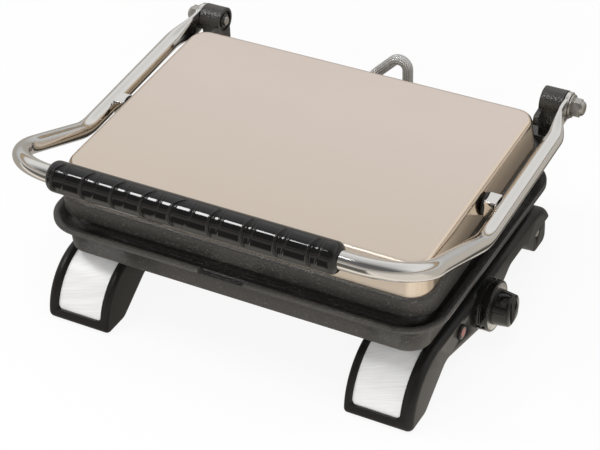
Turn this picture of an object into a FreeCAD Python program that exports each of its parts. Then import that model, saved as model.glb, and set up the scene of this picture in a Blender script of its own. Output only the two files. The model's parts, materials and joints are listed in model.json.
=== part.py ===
import FreeCAD, Part
import math
import os

from FreeCAD import Vector

# Contact grill (panini press). Millimetres, +X right, +Y back, +Z up.
# The pieces are drawn with the mid plane at x = 0, the rear edge of the closed lid's
# flat top at y = 0 and the table at z = 0.  The last step moves all of them together,
# so that the origin is the bottom centre of the whole appliance.

os.makedirs("parts", exist_ok=True)

# ---------------------------------------------------------------- driving dimensions
RUN_CLEAR = 0.05        # radial clearance of a shaft that turns in a hole
FIT_GAP = 0.3           # gap between pieces that face each other and don't touch
SCREW_R = 2.0           # shank radius of the housing screws
SCREW_HEAD_R = 3.6
SCREW_HEAD_H = 2.4

# the two sizes that the rest of the widths and heights follow
COVER_X = 156.5         # half width of the lid's cover
RAIL_TOP = 50.0         # top of the side rails

# side rails, moulded, one under each side of the base
RAIL_PROUD = 3.5        # outer face beyond the cover's side
RAIL_W = 56.5
RAIL_OUT = COVER_X + RAIL_PROUD
RAIL_IN = RAIL_OUT - RAIL_W
RAIL_WALL = 3.0
RAIL_EDGE_R = 5.2       # rounding of the long outer edges
FOOT_LIFT = 0.4         # rubber feet stand this far below the rails
FOOT_FRONT_Y = -238.4
FOOT_REAR_Y = 30.0
TOE_Z = 2.0             # height at which the leg's round front begins
FRONT_ARC_R = RAIL_TOP - TOE_Z
REAR_ARC_LOW = 12.0
REAR_ARC_R = RAIL_TOP - REAR_ARC_LOW   # round rear end
FRONT_FOOT_LEN = 26.0
REAR_FOOT_LEN = 21.0
FRONT_ARCH_Y = -176.0   # arch behind the front foot
FRONT_ARCH_DROP = 26.0
FRONT_ARCH_Z = RAIL_TOP - FRONT_ARCH_DROP
BELLY_Y = -101.7        # belly under the dial
BELLY_Z = 5.5
REAR_ARCH_Y = -43.0     # arch before the rear foot
REAR_ARCH_DROP = 19.0
REAR_ARCH_Z = RAIL_TOP - REAR_ARCH_DROP
REAR_ARCH_LEN = 26.0
HEEL_R = 12.0
FOOT_CORNER_R = 5.6
RUBBER_R = 5.0
RUBBER_T = 4.0
RUBBER_IN = 29.0
RUBBER_X = RAIL_OUT - RUBBER_IN
FOOT_STEP_IN = 6.0      # the rear foot's outer face steps in below the ledge
FOOT_STEP_DROP = 20.0
FOOT_STEP_Z = RAIL_TOP - FOOT_STEP_DROP

# brushed inlay over the front of each leg
INLAY_INNER_LAND = 6.5
INLAY_IN = RAIL_IN + INLAY_INNER_LAND
INLAY_OUTER_LAND = 10.0
INLAY_OUT = RAIL_OUT - INLAY_OUTER_LAND
INLAY_T = 1.0
INLAY_SINK = 1.8        # its face lies this far below the rail's face
INLAY_FOOT_Z = 11.5
INLAY_REAR_Y = -168.0
INLAY_CORNER_R = 4.0

# lower grill plate, cast in one piece with its skirt
LIP_PROUD = 12.1        # lip beyond the cover's side
LIP_X = COVER_X + LIP_PROUD
LIP_FRONT = -226.0
LIP_REAR = 18.0
LIP_CORNER_R = 34.0
PLATE_RISE = 34.5
LIP_TOP = RAIL_TOP + PLATE_RISE
LIP_T = 3.5
LIP_W = 4.0             # width of the lip's flat top
LIP_OVERHANG = 13.6
SKIRT_X = LIP_X - LIP_OVERHANG
SKIRT_FRONT = -212.0
SKIRT_REAR = 6.0
SKIRT_CORNER_R = 18.0
SKIRT_GAP = 5.0
SKIRT_BOTTOM = RAIL_TOP + SKIRT_GAP
SKIRT_TOP_DROP = 11.5
SKIRT_TOP = LIP_TOP - SKIRT_TOP_DROP
SKIRT_DRAFT = 1.5
SKIRT_WALL = 3.5
GUTTER_DEPTH = 8.5
GUTTER_Z = LIP_TOP - GUTTER_DEPTH
GUTTER_T = 5.0
PLATE_UNDER = GUTTER_Z - GUTTER_T
PAD_RISE = 1.5
PAD_Z = GUTTER_Z + PAD_RISE   # root of the ribs
RIB_H = 3.0
RIB_TOP = PAD_Z + RIB_H
RIB_PITCH = 9.0
RIB_TOP_W = 2.6
RIB_ROOT_W = 5.4
PAD_LAND = 7.0
PAD_X = SKIRT_X - PAD_LAND
PAD_FRONT = -206.0
PAD_REAR = 0.0
SPOUT_X = -4.0          # drip notch in the front lip
SPOUT_W = 39.0
SPOUT_DEPTH = 5.5
PAN_T = 1.5
PAN_UPSTAND = 7.0

# rear hinge posts and the pivot of the handle
PIVOT_Y = 34.5
PIVOT_RISE = 47.0
PIVOT_Z = LIP_TOP + PIVOT_RISE
TUBE_R = 7.0            # the handle's tube
ARM_GAP = 9.5           # from the cover's side to the handle's arm
TUBE_X = COVER_X + ARM_GAP + TUBE_R
LUG_R = 11.5
LUG_W = 18.7
POST_W = 22.0
LUG_CLEAR = 8.3         # from the arm's centre line to the lug's face
LUG_OUT = TUBE_X - LUG_CLEAR
LUG_IN = LUG_OUT - LUG_W
POST_STEP = 6.0
POST_OUT = LUG_IN - POST_STEP
POST_IN = POST_OUT - POST_W
POST_REAR = 46.0
LUG_REAR = 42.0         # rear of the neck under the round lug
POST_SEAT_DROP = 10.0
POST_SEAT_Z = RAIL_TOP - POST_SEAT_DROP
SHOULDER_DROP = 27.5
POST_SHOULDER_Z = PIVOT_Z - SHOULDER_DROP
PIVOT_BOLT_R = 4.0
PIVOT_WASHER_R = 9.5
PIVOT_WASHER_T = 1.6
PIVOT_NUT_FLATS = 13.0
PIVOT_NUT_H = 6.5

# handle: a bent tube with flattened ends
TUBE_WALL = 1.5
TAB_T = 4.0
TAB_R = 11.0
TAB_END_Y = 14.0        # where the flattening begins
TUBE_START_Y = -6.0     # where the tube is round again
BEND_Y = -143.0
ARM_FALL = 12.8
BEND_Z = PIVOT_Z - ARM_FALL
BEND_R = 45.0
BAR_Y = -263.0
BAR_RISE = 47.1
BAR_Z = BEND_Z + BAR_RISE
RIGHT_CORNER_R = 42.0   # the front bar's bends; the left one is wider
LEFT_CORNER_R = 58.0
GRIP_FIT = 0.15
GRIP_PAST = 4.0         # past the start of the wider bend
GRIP_LEN = 2 * (TUBE_X - LEFT_CORNER_R + GRIP_PAST)
GRIP_R = 12.0
GRIP_END_R = 6.0
GRIP_GROOVES = 9
GRIP_LAND = 15.0        # from each end to the first groove
GRIP_PITCH = (GRIP_LEN - 2 * GRIP_LAND) / (GRIP_GROOVES - 1)
GRIP_GROOVE_W = 1.6
GRIP_GROOVE_D = 0.7

# lid: stainless cover over the upper plate, tilting on two side bolts
TILT_Y = -103.0
TILT_DEG = 2.85         # the closed lid leans forward by this much
COVER_TOP = 13.3        # heights in the lid are measured from the tilt axis
COVER_BOTTOM = -13.0
COVER_T = 1.2
COVER_DRAFT = 3.0       # the top is this much narrower on each side
COVER_TOP_X = COVER_X - COVER_DRAFT
COVER_TOP_FRONT = -101.3
COVER_TOP_REAR = 107.3
COVER_TOP_CORNER_R = 15.0
COVER_FRONT = -107.5
COVER_REAR = 109.0
COVER_CORNER_R = 18.0
COVER_EDGE_R = 5.0
RIM_LEDGE = 3.5         # the casting stands out this far under the cover
RIM_BOTTOM = -30.0
RIM_WALL = 4.5
UPPER_FLOOR = -25.5
UPPER_PAD_Z = -31.8
UPPER_RIB_Z = -34.8
UPPER_PAD_FRONT_LAND = 5.0
UPPER_PAD_REAR_LAND = 7.0
UPPER_PAD_CORNER_R = 14.0
UPPER_RIB_LAND = 4.0
STANDOFF_FLATS = 14.0
TILT_BOLT_R = 3.0
TILT_BOLT_HEAD_R = 5.5
TILT_BOLT_HEAD_H = 4.0
BUSH_R = 6.0
BUSH_FLANGE_R = 9.0
BUSH_FLANGE_T = 1.6
SIDE_LUG_T = 9.0
LUG_TOP = BUSH_R + 4.0
SIDE_LUG_W = 26.0

# heating elements and their clamps
HEATER_R = 3.25
HEATER_IN = 43.0
HEATER_X = PAD_X - HEATER_IN
HEATER_END_X = 18.0     # where the two cold ends turn away
HEATER_TAIL = 9.0
HEATER_FRONT = -165.0
HEATER_REAR = -45.0
HEATER_BEND_R = 22.0
HEATER_END_R = 4.5
CLAMP_W = 12.0
CLAMP_T = 1.5
CLAMP_HEAD_R = 2.8
CLAMP_HEAD_H = 1.6
CLAMP_SCREW_LEN = 4.5   # below the strip

# thermostat dial and pilot lamp on the right rail
DIAL_Y = -110.0
DIAL_DROP = 16.0
DIAL_Z = RAIL_TOP - DIAL_DROP
COLLAR_R = 20.5
COLLAR_LEN = 11.5
RING_R = 18.6
RING_IN_R = 14.8
RING_T = 1.4
KNOB_R = 14.4
KNOB_TIP_R = 12.4
KNOB_LEN = 16.0
KNOB_DOME_R = 24.0
KNOB_BAR_W = 6.5
KNOB_BAR_H = 3.0
SHAFT_R = 3.0
THERMO_SIZE = 27.0
THERMO_LEN = 16.0
LAMP_Y = -151.0
LAMP_DROP = 15.0
LAMP_Z = RAIL_TOP - LAMP_DROP
LAMP_R = 6.0
LAMP_DOME = 1.8

# flexible conduit from the base to the lid, and the glands
CONDUIT_R = 4.5
CONDUIT_Y = 41.0
CONDUIT_X = 23.3
CONDUIT_RISE = 14.0
CONDUIT_BASE_Z = RAIL_TOP + CONDUIT_RISE
CONDUIT_ARCH_R = 7.6
LID_GLAND_X = -9.5
LID_GLAND_Z = -20.0     # in the lid, below the tilt axis
GLAND_R = 9.0
GLAND_LEN = 13.0
INLET_X = -70.0


# ---------------------------------------------------------------- small helpers
def box(x0, x1, y0, y1, z0, z1):
    return Part.makeBox(x1 - x0, y1 - y0, z1 - z0, Vector(x0, y0, z0))


def rod_x(x0, x1, y, z, r):
    return Part.makeCylinder(r, x1 - x0, Vector(x0, y, z), Vector(1, 0, 0))


def rod_y(y0, y1, x, z, r):
    return Part.makeCylinder(r, y1 - y0, Vector(x, y0, z), Vector(0, 1, 0))


def rod_z(z0, z1, x, y, r):
    return Part.makeCylinder(r, z1 - z0, Vector(x, y, z0), Vector(0, 0, 1))


def mirrored(shape):
    return shape.mirror(Vector(0, 0, 0), Vector(1, 0, 0))


def round_rect(half_x, y0, y1, r, z):
    """Closed wire, a rectangle with round corners, level at height z."""
    k = r * math.sqrt(0.5)
    xs = half_x - r
    lines_and_arcs = []
    corners = [(xs, y0 + r, -90), (xs, y1 - r, 0), (-xs, y1 - r, 90), (-xs, y0 + r, 180)]
    ends = []
    for cx, cy, start in corners:
        a = math.radians(start)
        first = Vector(cx + r * math.cos(a), cy + r * math.sin(a), z)
        last = Vector(cx - r * math.sin(a), cy + r * math.cos(a), z)
        middle = Vector(cx + k * (math.cos(a) - math.sin(a)), cy + k * (math.sin(a) + math.cos(a)), z)
        ends.append((first, middle, last))
    for i, (first, middle, last) in enumerate(ends):
        lines_and_arcs.append(Part.Arc(first, middle, last).toShape())
        following = ends[(i + 1) % len(ends)][0]
        lines_and_arcs.append(Part.makeLine(last, following))
    return Part.Wire(lines_and_arcs)


def slab(half_x, y0, y1, r, z0, z1):
    return Part.Face(round_rect(half_x, y0, y1, r, z0)).extrude(Vector(0, 0, z1 - z0))


def tapered(lower, upper):
    """Solid between two round rectangles, each (half_x, y0, y1, r, z)."""
    return Part.makeLoft([round_rect(*lower), round_rect(*upper)], True, True)


def side_edges(points):
    """Edges in the YZ plane: a step is (y, z) for a line or (mid, end) for an arc."""
    at = points[0]
    edges = []
    for step in points[1:]:
        if isinstance(step[0], tuple):
            mid, end = step
            edges.append(Part.Arc(yz(at), yz(mid), yz(end)).toShape())
        else:
            end = step
            edges.append(Part.makeLine(yz(at), yz(end)))
        at = end
    return edges


def yz(point):
    return Vector(0, point[0], point[1])


def round_polygon(corners):
    """Closed wire in the YZ plane through corners (y, z, radius), arcs tangent to the sides."""
    edges = []
    ends = []
    count = len(corners)
    for i, (y, z, r) in enumerate(corners):
        here = Vector(0, y, z)
        come = (here - yz(corners[i - 1][:2])).normalize()
        go = (yz(corners[(i + 1) % count][:2]) - here).normalize()
        turn = come.getAngle(go)
        cut = r * math.tan(turn / 2)
        first = here - come * cut
        last = here + go * cut
        ends.append((first, last))
        if r > 0:
            middle = here + (go - come).normalize() * (r / math.cos(turn / 2) - r)
            edges.append((i, Part.Arc(first, middle, last).toShape()))
    wire = []
    for i in range(count):
        wire += [edge for at, edge in edges if at == i]
        following = ends[(i + 1) % count][0]
        if (following - ends[i][1]).Length > 0.001:
            wire.append(Part.makeLine(ends[i][1], following))
    return Part.Wire(wire)


def side_solid(points, x0, x1):
    face = Part.Face(Part.Wire(side_edges(points)))
    face.translate(Vector(x0, 0, 0))
    return face.extrude(Vector(x1 - x0, 0, 0))


def on_circle(cy, cz, r, degrees):
    a = math.radians(degrees)
    return (cy + r * math.cos(a), cz + r * math.sin(a))


def rounded(shape, radius, wanted):
    """Fillet the edges whose middle point and ends pass the test."""
    edges = [e for e in shape.Edges if wanted(e)]
    return shape.makeFillet(radius, edges) if edges else shape


def edge_is_at(edge, x=None, y=None, z=None, tol=0.02):
    """True where every point of the edge has the given coordinates."""
    box_of_edge = edge.BoundBox
    lows = (box_of_edge.XMin, box_of_edge.YMin, box_of_edge.ZMin)
    highs = (box_of_edge.XMax, box_of_edge.YMax, box_of_edge.ZMax)
    for value, low, high in zip((x, y, z), lows, highs):
        if value is not None and (abs(low - value) > tol or abs(high - value) > tol):
            return False
    return True


def bent_path(points, radii):
    """Wire of straight runs joined by tangent arcs, one radius for each inner point."""
    edges = []
    at = points[0]
    for before, corner, after, r in zip(points, points[1:], points[2:], radii):
        come = (corner - before).normalize()
        go = (after - corner).normalize()
        turn = come.getAngle(go)
        cut = r * math.tan(turn / 2)
        first = corner - come * cut
        last = corner + go * cut
        to_centre = (go - come).normalize()
        middle = corner + to_centre * (r / math.cos(turn / 2) - r)
        edges.append(Part.makeLine(at, first))
        edges.append(Part.Arc(first, middle, last).toShape())
        at = last
    edges.append(Part.makeLine(at, points[-1]))
    return Part.Wire(edges)


def pipe(path, r):
    start = path.Edges[0].valueAt(path.Edges[0].FirstParameter)
    along = path.Edges[0].tangentAt(path.Edges[0].FirstParameter)
    ring = Part.Wire([Part.Circle(start, along, r).toShape()])
    return path.makePipeShell([ring], True, False)


def hexagon_x(x0, x1, y, z, flats):
    corner_r = flats / math.sqrt(3)
    corners = [on_circle(y, z, corner_r, 60 * i) for i in range(6)]
    return side_solid(corners + corners[:1], x0, x1)


def screw_z(z_head, z_tip, x, y):
    """Pan head screw standing upright with its head down."""
    head = rod_z(z_head, z_head + SCREW_HEAD_H, x, y, SCREW_HEAD_R)
    shank = rod_z(z_head + SCREW_HEAD_H, z_tip, x, y, SCREW_R)
    slot = box(x - 0.5, x + 0.5, y - SCREW_HEAD_R, y + SCREW_HEAD_R, z_head, z_head + 0.9)
    return head.fuse(shank).cut(slot).removeSplitter()


def in_lid(shape):
    """Move a piece drawn level about the tilt axis to the closed, leaning lid."""
    placed = shape.copy()
    placed.rotate(Vector(0, 0, 0), Vector(1, 0, 0), TILT_DEG)
    placed.translate(Vector(0, TILT_Y, TILT_Z))
    return placed


def tube_height(y):
    """Height of the straight rear stretch of the handle's centre line."""
    slope = (PIVOT_Z - BEND_Z) / (PIVOT_Y - BEND_Y)
    return BEND_Z + slope * (y - BEND_Y)


TILT_Z = tube_height(TILT_Y)
FRONT_ARC_Y = FOOT_FRONT_Y + FRONT_ARC_R
FRONT_ARC_Z = RAIL_TOP - FRONT_ARC_R
REAR_ARC_Y = FOOT_REAR_Y - REAR_ARC_R
RUBBER_FRONT_Y = FOOT_FRONT_Y + FRONT_FOOT_LEN * 0.5
RUBBER_REAR_Y = FOOT_REAR_Y - REAR_FOOT_LEN * 0.5
SCREW_ROWS = (-158.0, -16.0)
SCREW_X = 128.0
BOSS_R = 5.0


# ---------------------------------------------------------------- side rails and feet
def rail_corners():
    """Corners (y, z, radius) of a rail's side view, anticlockwise from the heel."""
    rear_toe_y = FOOT_REAR_Y - REAR_FOOT_LEN
    return [
        (FOOT_FRONT_Y + FRONT_FOOT_LEN, FOOT_LIFT, HEEL_R),
        (FRONT_ARCH_Y, FRONT_ARCH_Z, 14.0),
        (BELLY_Y, BELLY_Z, 26.0),
        (REAR_ARCH_Y - REAR_ARCH_LEN / 2, REAR_ARCH_Z, 12.0),
        (REAR_ARCH_Y + REAR_ARCH_LEN / 2, REAR_ARCH_Z, 16.0),
        (rear_toe_y, FOOT_LIFT, HEEL_R),
        (FOOT_REAR_Y, FOOT_LIFT, FOOT_CORNER_R),
        (FOOT_REAR_Y, RAIL_TOP, REAR_ARC_R),
        (FOOT_FRONT_Y, RAIL_TOP, FRONT_ARC_R),
        (FOOT_FRONT_Y, FOOT_LIFT, 0.0),
    ]


def rail_face():
    return Part.Face(round_polygon(rail_corners()))


def rail_blank():
    """Outer form of the right rail with all its rounded edges."""
    blank = rail_face().extrude(Vector(RAIL_OUT - RAIL_IN, 0, 0))
    blank.translate(Vector(RAIL_IN, 0, 0))
    blank = rounded(blank, FOOT_CORNER_R, lambda e: edge_is_at(e, y=FOOT_FRONT_Y, z=FOOT_LIFT))
    blank = rounded(blank, RAIL_EDGE_R, lambda e: edge_is_at(e, x=RAIL_OUT))
    return rounded(blank, RAIL_EDGE_R * 0.6, lambda e: edge_is_at(e, x=RAIL_IN))


def rail_hollow():
    """Space inside the beam, open at the top under the pan."""
    inner = rail_face().makeOffset2D(-RAIL_WALL)
    inner.translate(Vector(RAIL_IN + RAIL_WALL, 0, 0))
    space = inner.extrude(Vector(RAIL_OUT - RAIL_IN - 2 * RAIL_WALL, 0, 0))
    front, rear = hollow_ends()
    space = space.common(box(RAIL_IN, RAIL_OUT, front, rear, 0, RAIL_TOP))
    mouth = box(RAIL_IN + 8, RAIL_OUT - 12, front + 6, rear - 6, RAIL_TOP - 10, RAIL_TOP + 1)
    boss = rod_z(0, RAIL_TOP + 1, SCREW_X, SCREW_ROWS[0], SCREW_HEAD_R + RAIL_WALL)
    return space.fuse(mouth).cut(boss)


def hollow_ends():
    return INLAY_REAR_Y + RAIL_WALL, SCREW_ROWS[1] - 14.0


def inlay_band(x0, x1, r0, r1, foot_z, rear_y):
    """Strip bent over the round front of the leg, between two radii."""
    start = math.degrees(math.pi - math.asin((foot_z - FRONT_ARC_Z) / FRONT_ARC_R))
    half = (start + 90) / 2

    def ring_point(r, degrees):
        return on_circle(FRONT_ARC_Y, FRONT_ARC_Z, r, degrees)

    return side_solid([
        ring_point(r1, start),
        (ring_point(r1, half), ring_point(r1, 90)),
        (rear_y, FRONT_ARC_Z + r1),
        (rear_y, FRONT_ARC_Z + r0),
        ring_point(r0, 90),
        (ring_point(r0, half), ring_point(r0, start)),
        ring_point(r1, start),
    ], x0, x1)


def inlay():
    outer = FRONT_ARC_R - INLAY_SINK
    strip = inlay_band(INLAY_IN + 0.2, INLAY_OUT - 0.2, outer - INLAY_T, outer,
                       INLAY_FOOT_Z + 0.2, INLAY_REAR_Y - 0.2)
    return round_lower_corners(strip, INLAY_CORNER_R)


def round_lower_corners(strip, r):
    """Round the two corners at the strip's foot."""
    def is_foot_corner(e):
        b = e.BoundBox
        short = e.Length < 8.0
        return short and b.XLength < 0.01 and b.YMax < FOOT_FRONT_Y + 12.0
    return rounded(strip, r, is_foot_corner)


def rear_foot_step():
    """Ledge on the outer face of the rear foot, open to the rear and below."""
    step = box(RAIL_OUT - FOOT_STEP_IN, RAIL_OUT + 1, REAR_ARC_Y, FOOT_REAR_Y + 5, -1, FOOT_STEP_Z)
    return rounded(step, 5.0, lambda e: edge_is_at(e, y=REAR_ARC_Y, z=FOOT_STEP_Z))


def rail_common():
    rail = rail_blank().cut(rail_hollow())
    pocket = inlay_band(INLAY_IN, INLAY_OUT, FRONT_ARC_R - INLAY_SINK - INLAY_T, FRONT_ARC_R + 3.0,
                        INLAY_FOOT_Z, INLAY_REAR_Y)
    cuts = [round_lower_corners(pocket, INLAY_CORNER_R), rear_foot_step()]
    for y in (RUBBER_FRONT_Y, RUBBER_REAR_Y):
        cuts.append(rod_z(0, RUBBER_T, RUBBER_X, y, RUBBER_R))
    for y in SCREW_ROWS:
        cuts.append(rod_z(0, RAIL_TOP - 6.0, SCREW_X, y, SCREW_HEAD_R + FIT_GAP))
        cuts.append(rod_z(RAIL_TOP - 7.0, RAIL_TOP + 1, SCREW_X, y, SCREW_R + 0.1))
    cuts.append(box(POST_IN - FIT_GAP, POST_OUT + FIT_GAP, POST_TOE_Y - FIT_GAP, 60, POST_SEAT_Z, 60))
    cuts.append(rod_z(POST_SEAT_Z - 14.0, POST_SEAT_Z + 1, POST_SCREW_X, POST_SCREW_Y, SCREW_R))
    cuts.append(foot_screw_hole())
    return rail.cut(cuts)


POST_TOE_Y = REAR_ARC_Y + 5.0
POST_SCREW_X = (POST_IN + POST_OUT) / 2
POST_SCREW_Y = POST_TOE_Y + 9.0
FOOT_SCREW_Y = 8.0
FOOT_SCREW_Z = 21.0
FOOT_SCREW_LEN = 14.0


def foot_screw_hole():
    face_x = RAIL_OUT - FOOT_STEP_IN
    return rod_x(face_x - FOOT_SCREW_LEN, face_x + 1, FOOT_SCREW_Y, FOOT_SCREW_Z, SCREW_R)


def foot_screw():
    """Silver screw in the step of the rear foot."""
    face_x = RAIL_OUT - FOOT_STEP_IN
    head = rod_x(face_x, face_x + SCREW_HEAD_H, FOOT_SCREW_Y, FOOT_SCREW_Z, SCREW_HEAD_R)
    head = rounded(head, 1.2, lambda e: edge_is_at(e, x=face_x + SCREW_HEAD_H))
    return head.fuse(rod_x(face_x - FOOT_SCREW_LEN, face_x, FOOT_SCREW_Y, FOOT_SCREW_Z, SCREW_R))


def left_rail():
    return mirrored(rail_common())


def right_rail():
    """The right rail also carries the dial and the pilot lamp."""
    rail = rail_common()
    seat = rod_x(RAIL_OUT - RAIL_EDGE_R - 1, RAIL_OUT, DIAL_Y, DIAL_Z, COLLAR_R + 1.0)
    seat = seat.common(box(RAIL_IN, RAIL_OUT, DIAL_Y - 30, DIAL_Y + 30, 0, RAIL_TOP))
    rail = rail.fuse(seat).cut(rail_hollow())
    rail = rail.cut([
        rod_x(RAIL_OUT - 20, RAIL_OUT + 1, DIAL_Y, DIAL_Z, THERMO_NECK_R),
        rod_x(RAIL_OUT - 20, RAIL_OUT + 1, LAMP_Y, LAMP_Z, LAMP_R - 1.0),
        rod_x(RAIL_OUT - 1.0, RAIL_OUT + 1, LAMP_Y, LAMP_Z, LAMP_R + 0.1),
    ])
    return rail


def rubber_foot(y):
    pad = rod_z(0, RUBBER_T, RUBBER_X, y, RUBBER_R)
    return rounded(pad, 0.5, lambda e: edge_is_at(e, z=0))


def rail_screws():
    """Four long screws from below, through rail and pan into the casting."""
    one_side = []
    for y in SCREW_ROWS:
        one_side.append(screw_z(RAIL_TOP - 6.0 - SCREW_HEAD_H, PLATE_UNDER - 6.0, SCREW_X, y))
    return Part.makeCompound(one_side + [mirrored(s) for s in one_side])


# ---------------------------------------------------------------- base casting and pan
def ribbed_pad(half_x, y0, y1, root_z, top_z):
    """Comb of straight ribs that run front to back, as one extrusion."""
    count = int((2 * half_x - RIB_ROOT_W - 4.0) // RIB_PITCH)
    first_x = -count * RIB_PITCH / 2
    down = 1.0 if top_z > root_z else -1.0
    base_z = root_z - 1.0 * down
    outline = [Vector(-half_x, y0, base_z), Vector(-half_x, y0, root_z)]
    for i in range(count + 1):
        x = first_x + i * RIB_PITCH
        outline.append(Vector(x - RIB_ROOT_W / 2, y0, root_z))
        outline.append(Vector(x - RIB_TOP_W / 2, y0, top_z))
        outline.append(Vector(x + RIB_TOP_W / 2, y0, top_z))
        outline.append(Vector(x + RIB_ROOT_W / 2, y0, root_z))
    outline += [Vector(half_x, y0, root_z), Vector(half_x, y0, base_z)]
    outline.append(outline[0])
    face = Part.Face(Part.makePolygon(outline))
    return face.extrude(Vector(0, y1 - y0, 0))


def skirt_outline(z, grow=0.0):
    return (SKIRT_X + grow, SKIRT_FRONT - grow, SKIRT_REAR + grow, SKIRT_CORNER_R + grow, z)


def lip_outline(z, grow=0.0):
    return (LIP_X + grow, LIP_FRONT - grow, LIP_REAR + grow, LIP_CORNER_R + grow, z)


def drip_spout():
    """Notch in the front lip, a little wider at the top."""
    half = SPOUT_W / 2
    low = LIP_TOP - SPOUT_DEPTH
    corners = [(SPOUT_X - half - 2, LIP_TOP + 1), (SPOUT_X - half + 2, low),
               (SPOUT_X + half - 2, low), (SPOUT_X + half + 2, LIP_TOP + 1)]
    wire = Part.makePolygon([Vector(x, LIP_FRONT - 1, z) for x, z in corners + corners[:1]])
    return Part.Face(wire).extrude(Vector(0, LIP_W + 4.0, 0))


def lower_grill_plate():
    lip = slab(*lip_outline(LIP_TOP - LIP_T), LIP_TOP)
    flare = tapered(skirt_outline(SKIRT_TOP, SKIRT_DRAFT), lip_outline(LIP_TOP - LIP_T))
    skirt = tapered(skirt_outline(SKIRT_BOTTOM), skirt_outline(SKIRT_TOP, SKIRT_DRAFT))
    body = lip.fuse([flare, skirt]).removeSplitter()
    body = rounded(body, 1.2, lambda e: edge_is_at(e, z=LIP_TOP))
    basin = tapered(skirt_outline(GUTTER_Z, 0.5), lip_outline(LIP_TOP + 0.01, -LIP_W))
    under = slab(*skirt_outline(SKIRT_BOTTOM - 1, -SKIRT_WALL), PLATE_UNDER)
    body = body.cut([basin, under, drip_spout()])
    pad = slab(PAD_X, PAD_FRONT, PAD_REAR, 14.0, GUTTER_Z - 0.5, PAD_Z)
    ribs = ribbed_pad(PAD_X - 4, PAD_FRONT + 4, PAD_REAR - 4, PAD_Z, RIB_TOP)
    bosses = []
    for x in (-SCREW_X, SCREW_X):
        for y in SCREW_ROWS:
            bosses.append(rod_z(RAIL_TOP + PAN_T, PLATE_UNDER + 1, x, y, BOSS_R))
    for x, y in clamp_places(0.0):
        bosses.append(rod_z(PLATE_UNDER - 2 * HEATER_R, PLATE_UNDER + 1, x, y, BOSS_R - 1.0))
    body = body.fuse([pad, ribs] + bosses).removeSplitter()
    holes = []
    for x in (-SCREW_X, SCREW_X):
        for y in SCREW_ROWS:
            holes.append(rod_z(RAIL_TOP, PLATE_UNDER - 6.0, x, y, SCREW_R))
    for x, y in clamp_places(0.0):
        holes.append(rod_z(PLATE_UNDER - 2 * HEATER_R - 1, PLATE_UNDER - 1.0, x, y, CLAMP_SCREW_R))
    for x, z in ((CONDUIT_X, CONDUIT_BASE_Z), (INLET_X, CONDUIT_BASE_Z)):
        holes.append(rod_y(SKIRT_REAR - 12, SKIRT_REAR + 5, x, z, GLAND_R - 3.0))
    return body.cut(holes)


def base_pan():
    """Pressed tray that closes the base from below and lies on the rails."""
    grow = -SKIRT_WALL - FIT_GAP
    outer = slab(*skirt_outline(RAIL_TOP, grow), RAIL_TOP + PAN_UPSTAND)
    outer = rounded(outer, 2.5, lambda e: edge_is_at(e, z=RAIL_TOP))
    inner = slab(*skirt_outline(RAIL_TOP + PAN_T, grow - PAN_T), RAIL_TOP + PAN_UPSTAND + 1)
    holes = []
    for x in (-SCREW_X, SCREW_X):
        for y in SCREW_ROWS:
            holes.append(rod_z(0, 60, x, y, SCREW_R + 0.1))
        for i in range(7):
            slot_y = -150.0 + 16.0 * i
            holes.append(box(x * 0.5 - 18, x * 0.5 + 18, slot_y, slot_y + 4, RAIL_TOP - 1, RAIL_TOP + 3))
        holes.append(rail_wire_hole(x))
    return outer.cut([inner] + holes)


def rail_wire_hole(x):
    return rod_z(RAIL_TOP - 1, RAIL_TOP + 3, x, DIAL_Y, 8.0)


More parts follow.
